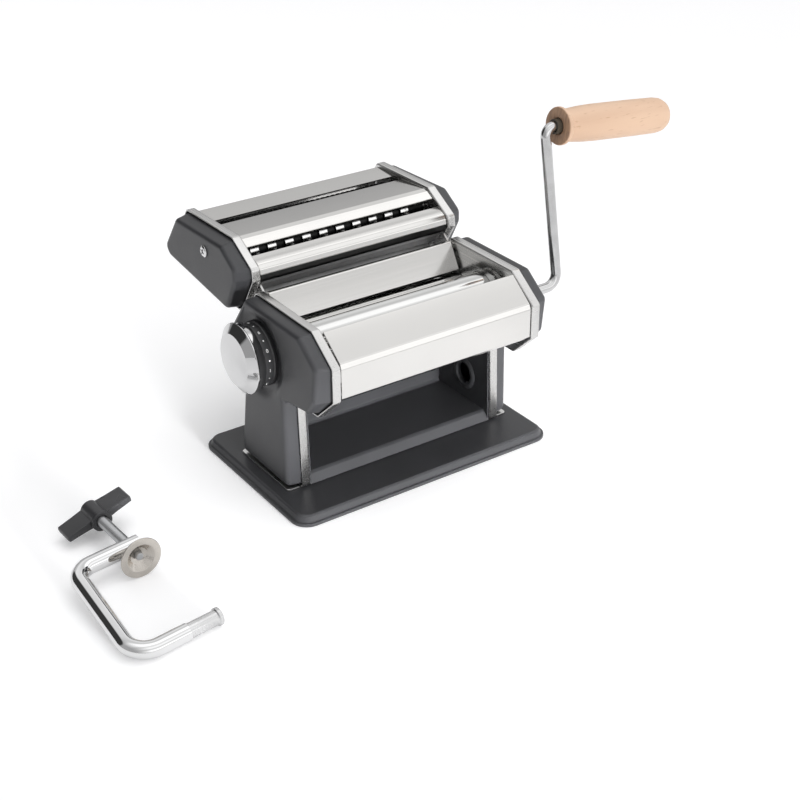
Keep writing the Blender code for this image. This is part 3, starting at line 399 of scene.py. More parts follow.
plate_in, plate_out, flange_tip = 72.8, 74.0, 78.9
steel_frame = rolled_steel("rolled_steel_frame", 1, 0.24, 0.32, (0.70, 0.695, 0.685))
frame_outline = [
    (16.0, 127.4), (-50.8, 127.4), (-73.4, 110.8), (-73.4, 87.6), (-54.5, 70.0), (-30.6, 70.0),
    (-32.8, 7.1), (33.0, 7.1), (24.5, 56.0), (36.0, 78.0), (36.0, 102.0),
]
front_axis = (-25.8, 104.8)
rear_axis = (1.69, 93.30)
crank_axis = (-43.7, 103.0)
for side, label in ((-1, "left"), (1, "right")):
    holes = [circle(front_axis, 6.8, 40), slot_loop((-0.61, 94.27), rear_axis, 6.8)]
    holes += [circle((-60.0, 87.0), 2.5, 20), circle((27.0, 97.0), 2.5, 20)]
    if side > 0:
        holes += [circle(crank_axis, 3.3, 24), circle(eyelet_centre, 8.6, 48)]
    build = flanged_plate(frame_outline, 3.0, holes, side)
    foot = np.array(rounded([(-30.4, 77.6), (31.0, 77.6), (31.0, 88.7), (-30.4, 88.7)], 2.5, 5))
    foot_top = np.array(inset(foot, 0.25))
    rows = []
    for z, outline in ((7.2, foot), (7.8, foot), (8.0, foot_top)):
        rows.append(np.column_stack([side * outline[:, 1], outline[:, 0], np.full(len(outline), z)]))
    build.grid(rows)
    build.cap(rows[0])
    build.cap(rows[-1])
    piece("side_sheet_" + label, build.mesh("side_sheet_" + label), steel_frame, "frame",
          "side_frame_" + label, slot="polished_steel")


# Clamp eyelet
# A round lip drawn out of the right leg towards the inside and painted with the lining,
# so that the clamp's turned nose finds its seat.
def turned(profile, place, direction=(1, 0, 0), segments=96, soft=0.25):
    """A turned body: a line of radius and distance, corners softened, carried round an axis."""
    line = np.array(softened(profile, soft, 3))
    axis = Vector(direction).normalized()
    side = axis.orthogonal().normalized()
    a = np.linspace(0, 2 * np.pi, segments, endpoint=False)
    ring = np.outer(np.cos(a), side) + np.outer(np.sin(a), axis.cross(side))
    along = np.array(place)[None, None, :] + line[:, 1][:, None, None] * np.array(axis)[None, None, :]
    return along + line[:, 0][:, None, None] * ring[None, :, :]


lip = turned([(7.4, 74.0), (7.4, 71.2), (8.4, 70.4), (10.0, 70.6), (11.9, 71.4), (11.9, 72.4), (9.0, 74.0)],
             (0, *eyelet_centre), soft=1.0)
piece("eyelet_lip", Build().grid(lip, wrap_rows=True).mesh("eyelet_lip"), coat, "frame", slot="dark_paint")


# Side covers
# Deep-drawn painted covers over the frames: a soft band rises from inside the flange to a
# ridge, and the face is flat, with a wide dish pressed in round the knob on the left.
def cover(outline, ridge, radius, side, holes=(), dish=None, ridge_radius=None):
    """A drawn cover: one outline runs straight to the next, and a quarter circle closes it to the face."""
    ridge_radius = ridge_radius or radius
    start = np.array(rounded(inset(outline, 1.7), radius, 9))
    edge = np.array(rounded(inset(ridge, 0.1), ridge_radius, 9))
    rings = [start + (edge - start) * t for t in np.linspace(0.0, 1.0, 6)]
    xs = list(np.linspace(cover_foot, cover_face - cover_bow, 6))
    for a in np.linspace(0.0, math.pi / 2, 9)[1:]:
        inwards = cover_bow * (1 - math.cos(a))
        corner = max(ridge_radius - inwards * 0.3, 0.9)
        rings.append(np.array(rounded(inset(ridge, 0.1 + inwards), corner, 9)))
        xs.append(cover_face - cover_bow * (1 - math.sin(a)))
    build = Build()
    build.grid([upright(ring, side * x) for x, ring in zip(xs, rings)])
    rim = rings[-1]
    low, high = rim.min(axis=0), rim.max(axis=0)
    yy, zz = np.meshgrid(np.arange(low[0], high[0], 1.6), np.arange(low[1], high[1], 1.6))
    extra = np.stack([yy.ravel(), zz.ravel()], 1)
    extra = extra[inside(extra, inset(rim, 0.9))]
    for hole in holes:
        extra = extra[~inside(extra, inset(hole, -0.6))]
    depth = (lambda points: side * (cover_face - dish(points))) if dish else None
    punched(build, rim, list(holes), side * cover_face, extra, depth)
    inner = [upright(rounded(inset(outline, 3.0), radius, 9), side * cover_foot),
             upright(rounded(inset(ridge, 2.0), ridge_radius, 9), side * (cover_face - 1.9))]
    build.grid([upright(rings[0], side * cover_foot), inner[0]])
    build.grid(inner)
    return build


def knob_dish(points):
    """Depth of the pressing round the knob: full over its floor, eased up to the face at its rim."""
    r = np.hypot(points[:, 0] - knob_axis[0], points[:, 1] - knob_axis[1])
    t = np.clip((dish_rim - r) / (dish_rim - dish_floor), 0.0, 1.0)
    return dish_depth * t * t * (3 - 2 * t)


cover_foot, cover_face, cover_bow = 75.5, 88.3, 3.1
dish_floor, dish_rim, dish_depth = 22.6, 31.0, 3.0
cover_ridge = [
    (15.0, 125.8), (-50.0, 125.8), (-69.4, 111.3), (-66.8, 87.4), (-58.0, 76.6), (-28.6, 72.2),
    (-30.0, 9.0), (30.4, 9.0), (22.4, 56.2), (33.6, 78.6), (33.6, 101.4),
]
knob_axis = (0.54, 93.78)
left_cover = cover(frame_outline, cover_ridge, 3.0, -1, [circle(knob_axis, 5.7, 40)], knob_dish, 3.6)
piece("cover_left", left_cover.mesh("cover_left"), coat, "frame", "side_cover_left", slot="dark_paint")
right_cover = cover(frame_outline, cover_ridge, 3.0, 1, [circle(crank_axis, 7.4, 40)], None, 3.6)
piece("cover_right", right_cover.mesh("cover_right"), coat, "frame", "side_cover_right", slot="dark_paint")


# Head covers
# Two bent steel sheets close the head: a long one at the back that dips towards the
# rollers, and one over the front with a rounded nose.
steel_x = rolled_steel("rolled_steel", 0)
rear_line = [(23.6, 58.0), (34.6, 79.0), (34.6, 101.9), (15.2, 126.6), (12.6, 126.0), (3.2, 109.4)]
rear_sheet = folded(rear_line, 0.8, [3.0, 3.0, 1.6, 1.2], -71.0, 71.0, 0.2)
piece("rear_sheet", rear_sheet.mesh("rear_sheet"), steel_x, "frame", "rear_cover", slot="polished_steel")
front_line = [
    (-49.4, 121.4), (-52.6, 125.6), (-53.4, 125.9), (-71.0, 112.0), (-72.6, 108.4),
    (-72.6, 89.0), (-69.6, 86.2),
]
front_sheet = folded(front_line, 0.8, [0.8, 0.8, 2.5, 2.5, 1.5], -72.1, 72.1, 0.2)
piece("front_sheet", front_sheet.mesh("front_sheet"), steel_x, "frame", "front_cover", slot="polished_steel")


# Smooth rollers
# Ground steel rollers with a small chamfer at each end, on slimmer journals. They turn in
# bushes in the side frames, and the rear one's journals slide in slots to set the gap.
roller_steel = rolled_steel("ground_steel", 0, 0.05, 0.10, (0.75, 0.75, 0.74))
for name, axis, end, body in (("front_roller", front_axis, 81.0, "front_roller_body"),
                              ("rear_roller", rear_axis, 77.0, "rear_roller_body")):
    profile = [
        (0.0, -80.2), (4.0, -80.2), (4.0, -70.5), (12.9, -70.5), (13.5, -69.9),
        (13.5, 69.9), (12.9, 70.5), (4.0, 70.5), (4.0, end), (0.0, end),
    ]
    build = Build().grid(turned(profile, (0, *axis), segments=128))
    piece("smooth_" + name, build.mesh("smooth_" + name), roller_steel, body, name, slot="polished_steel")


# Inner pieces of the head
# Zinc-plated gears, spring and tie rods, a turned shaft, spring-steel scrapers and guides,
# and moulded black bushes: they keep their modelled shapes and get their own finishes.
def toothed_metal(name, colour, rough, scale=900.0):
    """Blasted, plated or turned metal with a fine even tooth and cloudy patches."""
    mat, tree, shader = nodes_for(name, colour, rough, 1.0)
    tooth = noise(tree, (1, 1, 1), scale, 3.0)
    patch = noise(tree, (1, 1, 1), 90.0, 4.0)
    value = joined(tree, levels(tree, tooth, 0.3, 0.7, rough - 0.06, rough + 0.06),
                   levels(tree, patch, 0.3, 0.7, -0.04, 0.04))
    tree.links.new(value, shader.inputs["Roughness"])
    shade = tuple(c * 0.86 for c in colour)
    tone = blend_colour(tree, levels(tree, patch, 0.35, 0.7, 0.0, 1.0), colour, shade)
    tree.links.new(tone, shader.inputs["Base Color"])
    bump(tree, shader, tooth, 0.000004, 0.4)
    return mat


def moulded(name, colour, rough):
    """Moulded plastic with a fine spark-eroded texture."""
    mat, tree, shader = nodes_for(name, colour, rough, 0.0)
    grain = noise(tree, (1, 1, 1), 2200.0, 2.0)
    patch = noise(tree, (1, 1, 1), 70.0, 3.0)
    tree.links.new(levels(tree, patch, 0.3, 0.7, rough - 0.05, rough + 0.06), shader.inputs["Roughness"])
    tone = blend_colour(tree, patch, colour, tuple(c * 1.25 for c in colour))
    tree.links.new(tone, shader.inputs["Base Color"])
    bump(tree, shader, grain, 0.00001, 0.4)
    return mat


def dress(material, *nodes):
    """Gives CAD nodes that stay in view their material."""
    for node in nodes:
        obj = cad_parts[node]
        obj.data.materials.clear()
        obj.data.materials.append(material)


zinc = toothed_metal("zinc_steel", (0.46, 0.465, 0.47), 0.34, 1500.0)
black_plastic = moulded("black_plastic", (0.018, 0.018, 0.019), 0.36)
dress(zinc, "front_roller_gear", "rear_roller_gear", "drive_wheel", "drive_pinion", "adjuster_spring",
      "tie_rod_front", "tie_rod_rear")
dress(toothed_metal("turned_shaft", (0.66, 0.66, 0.66), 0.28), "adjuster_shaft")
dress(rolled_steel("spring_steel", 0, 0.14, 0.24, (0.55, 0.55, 0.54)),
      "scraper_front", "scraper_rear", "guide_left", "guide_right")
dress(black_plastic, "front_bush_left", "front_bush_right", "bearing_block_left", "bearing_block_right")


# Gap knob
# A black dial with printed figures carries a chrome cap: a straight band, a thin rim that
# stands out, and a bevel up to a flat disc. The cap's chrome is a darker copy of the
# plating: painted shade for the shadowed floor it mirrors.
def chrome_plate(name, bright):
    """Mirror chrome with faint handling smudges and hairline scratches."""
    clean = (bright, bright, bright)
    mat, tree, shader = nodes_for(name, clean, 0.05, 1.0)
    smudge = noise(tree, (1, 1, 1), 60.0, 5.0)
    hair = noise(tree, (30, 1500, 1500), 1.0, 2.0, (0.3, 0.2, 0.5))
    film = levels(tree, smudge, 0.45, 0.75, 0.035, 0.10)
    rough = joined(tree, film, levels(tree, hair, 0.6, 0.8, 0.0, 0.05))
    tree.links.new(rough, shader.inputs["Roughness"])
    tone = blend_colour(tree, levels(tree, smudge, 0.4, 0.8, 0.0, 1.0), clean, tuple(c * 0.94 for c in clean))
    tree.links.new(tone, shader.inputs["Base Color"])
    bump(tree, shader, smudge, 0.000004, 0.25)
    return mat


def on_dial(x, angle, radius):
    """Points at an X and an angle round the knob's axis."""
    return np.column_stack([x, knob_axis[0] + radius * np.cos(angle), knob_axis[1] + radius * np.sin(angle)])


def figures():
    """Thin print of the settings 0 to 9 with a dot between each two, bent to the dial's radius."""
    build = Build()
    for number in range(10):
        curve = bpy.data.curves.new("figure", "FONT")
        curve.body = str(number)
        curve.size = 3.2
        curve.align_x = "CENTER"
        curve.align_y = "CENTER"
        curve.extrude = 0.03
        text = bpy.data.objects.new("figure", curve)
        bpy.context.scene.collection.objects.link(text)
        bpy.context.view_layer.update()
        graph = bpy.context.evaluated_depsgraph_get()
        mesh = bpy.data.meshes.new_from_object(text.evaluated_get(graph))
        flat = np.zeros(len(mesh.vertices) * 3)
        mesh.vertices.foreach_get("co", flat)
        flat = flat.reshape(-1, 3)
        a = math.radians(36.0 * number + 150.0) + flat[:, 1] / dial_radius
        first = len(build.verts)
        figure = on_dial(print_x - flat[:, 0], a, dial_radius + 0.04 + flat[:, 2])
        build.verts = np.vstack([build.verts, figure])
        build.faces += [tuple(first + k for k in p.vertices) for p in mesh.polygons]
        bpy.data.objects.remove(text, do_unlink=True)
        t = np.linspace(0, 2 * np.pi, 12, endpoint=False)
        a = math.radians(36.0 * number + 168.0) + dot_radius * np.sin(t) / dial_radius
        dot = [on_dial(print_x + dot_radius * np.cos(t), a, r) for r in (dial_radius, dial_radius + 0.08)]
        build.grid(dot)
        build.cap(dot[0])
        build.cap(dot[1])
    return build


chrome = chrome_plate("chrome_plate", 0.82)
dial_radius, print_x, dot_radius = 20.8, -91.2, 0.42
dial_profile = [
    (21.3, -85.6), (21.3, -87.6), (20.9, -88.4), (20.7, -96.1),
    (9.2, -96.1), (9.2, -91.0), (5.5, -91.0), (5.5, -85.6),
]
dial = Build().grid(turned(dial_profile, (0, *knob_axis), soft=0.3), wrap_rows=True)
piece("gap_dial", dial.mesh("gap_dial"), black_plastic, "knob", "knob_dial", slot="black_plastic")
cap_profile = [
    (0.0, -104.2), (16.4, -103.9), (20.9, -100.2), (20.9, -94.6), (22.0, -94.4), (22.2, -99.3),
    (23.3, -100.1), (23.3, -100.8), (22.7, -101.3), (17.4, -105.2), (0.0, -105.4),
]
cap = Build().grid(turned(cap_profile, (0, *knob_axis), segments=128, soft=0.3))
# The cap's chrome is a darker copy of the plating: painted shade.
piece("gap_cap", cap.mesh("gap_cap"), chrome_plate("chrome_cap_painted_shade", 0.70), "knob", "knob_cap", slot="chrome")
piece("dial_figures", figures().mesh("dial_figures"), moulded("white_print", (0.72, 0.72, 0.72), 0.6), "knob",
      slot="black_plastic")


# Crank
# A bright round rod bent twice, with a beech grip that turns on its end. The grip has a
# collar, a waist and a long swelling body with a rounded end.
def tube(path, radius, sides=32):
    """Rings of a round bar along a path: each ring's frame is the last one carried along without twist."""
    pts = np.array([tuple(p) for p in path], dtype=float)
    tangents = np.gradient(pts, axis=0)
    tangents /= np.linalg.norm(tangents, axis=1)[:, None]
    normal = np.array(Vector(tangents[0]).orthogonal().normalized())
    a = np.linspace(0, 2 * np.pi, sides, endpoint=False)
    rings = []
    for p, t in zip(pts, tangents):
        normal = normal - t * np.dot(normal, t)
        normal /= np.linalg.norm(normal)
        rings.append(p + radius * (np.outer(np.cos(a), normal) + np.outer(np.sin(a), np.cross(t, normal))))
    return np.array(rings)


def bent(points, radii, steps=12):
    """A path in space with its inner corners turned into arcs, and filled in every 6 mm."""
    path = np.array(softened(points, list(radii), steps))
    filled = []
    for a, b in zip(path, path[1:]):
        parts = max(1, int(np.linalg.norm(b - a) / 6.0))
        filled.append(a + (b - a) * (np.arange(parts)[:, None] / parts))
    return np.vstack([*filled, path[-1:]])


def beech():
    """Steamed beech: pale tan, long soft grain and short dark rays, with a brown end face at the collar."""
    mat, tree, shader = nodes_for("beech", (0.84, 0.60, 0.41), 0.45, 0.0)
    turn = (0.0, grip_tilt, 0.0)
    grain = noise(tree, (8, 160, 160), 1.0, 4.0, turn)
    broad = noise(tree, (4, 40, 40), 1.0, 3.0, turn)
    bands = levels(tree, broad, 0.35, 0.65, 0.0, 1.0)
    tone = blend_colour(tree, bands, (0.80, 0.565, 0.40), (0.70, 0.47, 0.325))
    rays = noise(tree, (120, 900, 900), 1.0, 1.5, turn)
    tone = blend_colour(tree, levels(tree, rays, 0.64, 0.72, 0.0, 0.55), tone, (0.50, 0.28, 0.16))
    tone = blend_colour(tree, levels(tree, grain, 0.5, 0.8, 0.0, 0.35), tone, (0.66, 0.42, 0.27))
    place = tree.nodes.new("ShaderNodeTexCoord")
    along = tree.nodes.new("ShaderNodeVectorMath")
    along.operation = "DOT_PRODUCT"
    along.inputs[1].default_value = tuple(grip_dir)
    tree.links.new(place.outputs["Object"], along.inputs[0])
    face = grip_start.dot(grip_dir) * 0.001
    end_grain = levels(tree, along.outputs["Value"], face + 0.0002, face + 0.0009, 0.75, 0.0)
    pores = noise(tree, (1, 700, 160), 1.0, 2.0)
    open_pores = levels(tree, pores, 0.4, 0.6, 0.0, 1.0)
    brown = blend_colour(tree, open_pores, (0.36, 0.20, 0.11), (0.20, 0.10, 0.055))
    tone = blend_colour(tree, end_grain, tone, brown)
    tree.links.new(tone, shader.inputs["Base Color"])
    tree.links.new(levels(tree, grain, 0.3, 0.7, 0.38, 0.50), shader.inputs["Roughness"])
    bump(tree, shader, joined(tree, grain, rays), 0.00003, 0.35)
    return mat


grip_tilt = math.radians(6.0)
grip_dir = Vector((math.cos(grip_tilt), 0.0, -math.sin(grip_tilt)))
crank_top = Vector((115.5, -27.6, 208.6))
grip_start = crank_top + grip_dir * 10.5
rod_radius = 3.5
rod_corners = [(82.0, *crank_axis), (118.0, *crank_axis), crank_top, crank_top + grip_dir * 90.0]
rod_rings = tube(bent(rod_corners, (9.0, 6.0), 14), rod_radius, 40)
rod = Build().grid(rod_rings)
rod.cap(rod_rings[0])
rod.cap(rod_rings[-1])
plated_rod = toothed_metal("plated_rod", (0.70, 0.70, 0.70), 0.17, 1200.0)
piece("crank_bar", rod.mesh("crank_bar"), plated_rod, "crank", "crank_rod", slot="chrome")
bush = turned([(3.8, -3.3), (5.0, -3.3), (5.0, 8.7), (3.8, 8.7)], grip_start, grip_dir, 64)
dark_bush = moulded("dark_bush", (0.062, 0.050, 0.035), 0.5)
piece("grip_sleeve", Build().grid(bush, wrap_rows=True).mesh("grip_sleeve"), dark_bush, "crank", "grip_bush",
      slot="black_plastic")
grip_profile = [
    (0.0, 86.0), (3.9, 86.0), (3.9, 9.0), (5.3, 9.0), (5.3, 0.0), (12.0, 0.0), (12.5, 0.9),
    (12.5, 2.6), (11.4, 3.8), (10.6, 5.2), (10.9, 9.0), (11.7, 18.0), (12.1, 28.0), (12.2, 60.0),
    (12.0, 84.0), (11.4, 88.6), (9.6, 92.2), (6.4, 93.8), (0.0, 94.25),
]
grip = Build().grid(turned(grip_profile, grip_start, grip_dir, soft=0.9))
piece("wooden_grip", grip.mesh("wooden_grip", 50.0), beech(), "grip_body", "grip", slot="wood")


# Cutter unit plates and covers
# The slide-on unit repeats the head: flanged steel plates with painted covers, each held
# by one cross-headed screw, and hooks that reach behind the head's frames.
cutter_outline = [
    (105.5, 154.4), (43.0, 155.4), (19.2, 141.4), (18.4, 133.6), (34.6, 108.0), (39.5, 106.0), (121.0, 116.0),
    (127.5, 124.5),
]
cutter_ridge = [
    (104.6, 150.6), (42.0, 152.4), (24.9, 141.6), (24.9, 132.8), (36.4, 111.6), (40.2, 108.9), (118.2, 118.6),
    (124.0, 125.0),
]
narrow_axes = ((74.9, 138.5), (88.7, 138.5))
wide_axes = ((36.5, 130.5), (51.66, 139.25))
screw_axis = (64.4, 140.9)
screw_profile = [(0.0, 83.2), (1.2, 83.2), (1.2, 88.5), (4.0, 88.5), (3.9, 89.0), (2.9, 89.7), (0.0, 89.8)]
recess_shade_arm = np.array([(-2.1, -0.42), (2.1, -0.42), (2.1, 0.42), (-2.1, 0.42)])
for side, label in ((-1, "left"), (1, "right")):
    holes = [circle(axis, 3.3, 24) for axis in narrow_axes + wide_axes]
    holes += [circle(axis, 2.3, 20) for axis in (screw_axis, (108.0, 127.0), (44.5, 113.5))]
    build = flanged_plate(cutter_outline, 4.0, holes, side)
    hook = rounded([(15.4, 123.4), (25.3, 131.9), (37.6, 112.6), (26.0, 107.6)], 1.5, 5)
    rows = [upright(hook, side * x) for x in (71.3, sheet_end)]
    build.grid(rows)
    build.cap(rows[0])
    build.cap(rows[1])
    piece("unit_sheet_" + label, build.mesh("unit_sheet_" + label), steel_frame, "cutter_unit",
          "cutter_side_" + label, slot="polished_steel")
    openings = [circle(screw_axis, 1.5, 20)]
    if side > 0:
        openings += [circle(narrow_axes[0], 5.6, 32), circle(wide_axes[1], 5.6, 32)]
    shell = cover(cutter_outline, cutter_ridge, 4.0, side, openings, None, 5.0)
    piece("unit_cover_" + label, shell.mesh("unit_cover_" + label), coat, "cutter_unit",
          "cutter_cover_" + label, slot="dark_paint")
    screw_line = [(r, side * x) for r, x in screw_profile]
    head = Build().grid(turned(screw_line, (0, *screw_axis), segments=48))
    piece("unit_screw_" + label, head.mesh("unit_screw_" + label), chrome, "cutter_unit",
          "cutter_screw_" + label, slot="chrome")
    # A thin black cross on each screw head, in the black plastic material: painted shade for the cross
    # recess, which is not cut.
    cross = Build()
    for turn in (0.5, 0.5 + math.pi / 2):
        spin = np.array([[math.cos(turn), math.sin(turn)], [-math.sin(turn), math.cos(turn)]])
        rows = [upright(recess_shade_arm @ spin + screw_axis, side * x) for x in (89.2, 89.86)]
        cross.grid(rows)
        cross.cap(rows[0])
        cross.cap(rows[1])
    piece("screw_recess_painted_shade_" + label, cross.mesh("screw_recess_painted_shade_" + label), black_plastic, "cutter_unit",
          slot="chrome")


# Cutter unit strips
# Three bent bright strips leave two slots for the dough: at the back, over the middle like
# a low roof, and a rounded one at the front whose tail turns in under the rollers. The tail and
# the front strip's faces below 135 mm are near-black steel: painted shade for the dark inside.
# Near-black steel for the front strip's low faces and its tail: painted shade, not a finish.
strip_painted_shade = toothed_metal("tail_painted_shade", (0.05, 0.05, 0.05), 0.34)
strips = {
    "rear": ([(109.3, 132.2), (105.0, 145.0), (103.9, 151.6), (102.6, 152.3), (82.4, 151.7)],
             [3.0, 0.8, 0.8]),
    "roof": ([(75.2, 149.4), (74.4, 151.7), (46.0, 153.7), (42.4, 153.0), (36.2, 149.6), (36.6, 148.0)],
             [0.6, 2.0, 2.0, 0.5]),
    "front": ([(32.6, 143.5), (31.6, 145.0), (26.5, 143.95), (22.6, 142.3), (20.6, 139.6), (19.9, 136.4),
               (20.0, 133.0), (20.8, 131.0)], [0.6, 20.0, 3.5, 2.8, 2.5, 1.0]),
}
tail_line = [(20.4, 132.0), (20.8, 131.0), (25.6, 127.0), (31.0, 120.5)]
painted_shade_below = 0.1350
for label, (line, bends) in strips.items():
    strip = folded(line, 0.8, bends, -72.4, 72.4, 0.2)
    if label == "front":
        tail = folded(tail_line, 0.8, [0.8, 2.0], -70.8, 70.8, 0.2)
        for face in tail.faces:
            strip.faces.append(tuple(k + len(strip.verts) for k in face))
        strip.verts = np.vstack([strip.verts, tail.verts])
    mesh = strip.mesh("unit_strip_" + label)
    piece("unit_strip_" + label, mesh, steel_x, "cutter_unit", "cutter_strip_" + label, slot="polished_steel")
    # Faces of the front strip below 135 mm take the near-black steel: painted shade.
    if label == "front":
        mesh.materials.append(strip_painted_shade)
        centres = np.zeros(len(mesh.polygons) * 3)
        mesh.polygons.foreach_get("center", centres)
        mesh.polygons.foreach_set("material_index", (centres[2::3] < painted_shade_below).astype(np.int32))


# Cutting rollers
# Grooved steel rollers in pairs whose rings reach into each other's grooves: fine rings for
# narrow noodles, broad ones for ribbons. Two of them end in the crank's sockets. The grooves
# are near-black steel, and so are the rings of the narrow pair and the wide front roller:
# painted shade for the dark slots they turn in. Only the wide rear roller shows bright rings.
def grooved(axis, outer, core, pitch, ring, offset, socket):
    """A grooved roller: the turned line steps from core to ring and back at an even pitch along X."""
    profile = [(0.0, -80.4), (3.0, -80.4), (3.0, -71.4), (core, -71.4)]
    reach = int(70.0 / pitch) + 2
    for x in offset + pitch * np.arange(-reach, reach + 1):
        if abs(x) + pitch / 2 < 70.0:
            near, far = x - ring / 2, x + ring / 2
            profile += [(core, near), (outer, near), (outer, far), (core, far)]
    profile += [(core, 71.4), (3.0, 71.4)]
    if socket:
        profile += [(3.0, 80.8), (5.0, 81.4), (5.0, 88.0), (3.8, 88.0), (3.8, 81.8), (0.0, 81.8)]
    else:
        profile += [(3.0, 80.4), (0.0, 80.4)]
    return Build().grid(turned(profile, (0, *axis), segments=64, soft=0.12))


# Near-black steel for every groove's walls and floor: painted shade.
groove_painted_shade = toothed_metal("groove_steel_painted_shade", (0.045, 0.045, 0.045), 0.45)
# Near-black steel for the rings of the narrow pair and the wide front roller: painted shade.
ring_painted_shade = toothed_metal("ring_steel_painted_shade", (0.16, 0.16, 0.16), 0.32)
ground_ring = rolled_steel("ground_ring", 1, 0.12, 0.2, (0.90, 0.90, 0.89))
cutters = (("narrow", narrow_axes, (7.2, 5.2, 4.1, 1.7), (0.0, 2.05)),
           ("wide", wide_axes, (9.0, 6.6, 13.0, 6.2), (-4.4, 2.1)))
for label, axes, size, shifts in cutters:
    for place, axis, shift in zip(("front", "rear"), axes, shifts):
        socket = (label, place) in (("narrow", "front"), ("wide", "rear"))
        name = label + "_cutter_" + place
        mesh = grooved(axis, *size, shift, socket).mesh(name + "_ground")
        shown = ground_ring if (label, place) == ("wide", "rear") else ring_painted_shade
        obj = piece(name + "_ground", mesh, shown, label + "_" + place + "_body", name, slot="brushed_steel")
        # Faces below the ring tops, within the rolling length, take the groove steel: painted shade.
        mesh.materials.append(groove_painted_shade)
        centres = np.zeros(len(mesh.polygons) * 3)
        mesh.polygons.foreach_get("center", centres)
        centres = centres.reshape(-1, 3) * 1000.0
        reach = np.hypot(centres[:, 1] - axis[0], centres[:, 2] - axis[1])
        grooves = (reach < size[0] - 0.15) & (np.abs(centres[:, 0]) < 70.5)
        mesh.polygons.foreach_set("material_index", grooves.astype(np.int32))
dress(zinc, "narrow_gear_front", "narrow_gear_rear", "wide_gear_front", "wide_gear_rear",
      "cutter_rod_middle", "cutter_rod_rear", "cutter_rod_front")
dress(toothed_metal("comb_steel", (0.30, 0.30, 0.30), 0.35),
      "comb_narrow_front", "comb_narrow_rear", "comb_wide_front", "comb_wide_rear")


# Table clamp
# A chromed bar bent into a C, with a satin turned nose at one end and the screw through the
# other, a dark moulded wing handle and a cupped pad on a rivet.
bar_radius = 5.39
thread_pitch = 1.25
clamp_path = [(-207.5, -119.9, 5.6), (-241.2, -124.2, 5.6), (-240.2, -41.4, 13.2), (-196.3, -35.6, 13.4)]
hub = Vector((-204.6, 6.4, 13.6))
pad_centre = Vector((-201.8, -47.4, 13.4))
screw_dir = (pad_centre - hub).normalized()
screw_length = (pad_centre - hub).length
bar_rings = tube(bent(clamp_path, (13.0, 13.0), 16), bar_radius, 48)
bar = Build().grid(bar_rings)
bar.cap(bar_rings[0])
bar.cap(bar_rings[-1])
piece("clamp_bar", bar.mesh("clamp_bar"), chrome, "clamp", "clamp_frame", slot="chrome")
nose_dir = (Vector(clamp_path[0]) - Vector(clamp_path[1])).normalized()
nose = turned([(0.0, -2.0), (4.6, -2.0), (4.6, 19.0), (5.5, 19.5), (5.5, 21.6), (5.1, 22.0), (0.0, 22.0)],
              clamp_path[0], nose_dir, 64)
satin_steel = toothed_metal("satin_steel", (0.74, 0.74, 0.74), 0.30)
piece("clamp_nose", Build().grid(nose).mesh("clamp_nose"), satin_steel, "clamp", slot="chrome")
thread = [(0.0, 1.0)]
for start in 1.2 + thread_pitch * np.arange(int((screw_length - 5.0) / thread_pitch)):
    thread += [(3.6, start), (3.25, start + 0.62)]
pin = [(3.3, -3.6), (2.4, -3.4), (2.4, 2.0), (1.6, 2.2), (0.0, 2.2)]
thread += [(r, screw_length + step) for r, step in pin]
screw = Build().grid(turned(thread, hub, screw_dir, 48, 0.1))
piece("clamp_thread", screw.mesh("clamp_thread"), zinc, "clamp_screw_body", "clamp_screw",
      slot="brushed_steel")
pad_profile = [(r, screw_length + step) for r, step in (
    (2.7, -3.0), (5.2, -3.0), (6.4, -1.0), (9.6, 2.6), (13.3, 2.8), (13.3, 3.9), (9.0, 3.7),
    (5.4, 0.4), (2.7, -0.6),
)]
pad = Build().grid(turned(pad_profile, hub, screw_dir, 96, 0.5), wrap_rows=True)
nickel = toothed_metal("matte_nickel", (0.60, 0.565, 0.52), 0.20, 1700.0)
piece("clamp_cup", pad.mesh("clamp_cup"), nickel, "clamp_pad_body", "clamp_pad", slot="brushed_steel")
wing_tilt = math.radians(16.5)
wing_axis = Vector((math.cos(wing_tilt), 0.05, math.sin(wing_tilt))).normalized()
wing_up = screw_dir.cross(wing_axis).normalized()
wing_half = [(6.0, 7.6, 3.1), (12.0, 7.5, 2.6), (22.4, 7.4, 2.1), (23.0, 6.7, 1.4)]
wings = Build()
wing_rings = []
for along, deep, tall in [(-along, deep, tall) for along, deep, tall in wing_half[::-1]] + wing_half:
    outline = np.array(rounded([(-deep, -tall), (deep, -tall), (deep, tall), (-deep, tall)], 0.8, 4))
    centre = np.array(hub + wing_axis * along - screw_dir * 1.6)
    wing_rings.append(centre + outline[:, :1] * np.array(screw_dir) + outline[:, 1:] * np.array(wing_up))
wings.grid(wing_rings)
wings.cap(wing_rings[0])
wings.cap(wing_rings[-1])
hub_profile = [
    (0.0, -9.5), (5.2, -9.5), (6.3, -8.6), (6.3, 6.0), (6.8, 6.4), (6.8, 9.0), (3.9, 9.0),
    (3.9, 0.6), (0.0, 0.6),
]
wings.grid(turned(hub_profile, hub, screw_dir, 64, 0.5))
piece("clamp_wings", wings.mesh("clamp_wings"), moulded("grey_plastic", (0.030, 0.030, 0.032), 0.30),
      "clamp_screw_body", "clamp_handle", slot="black_plastic")


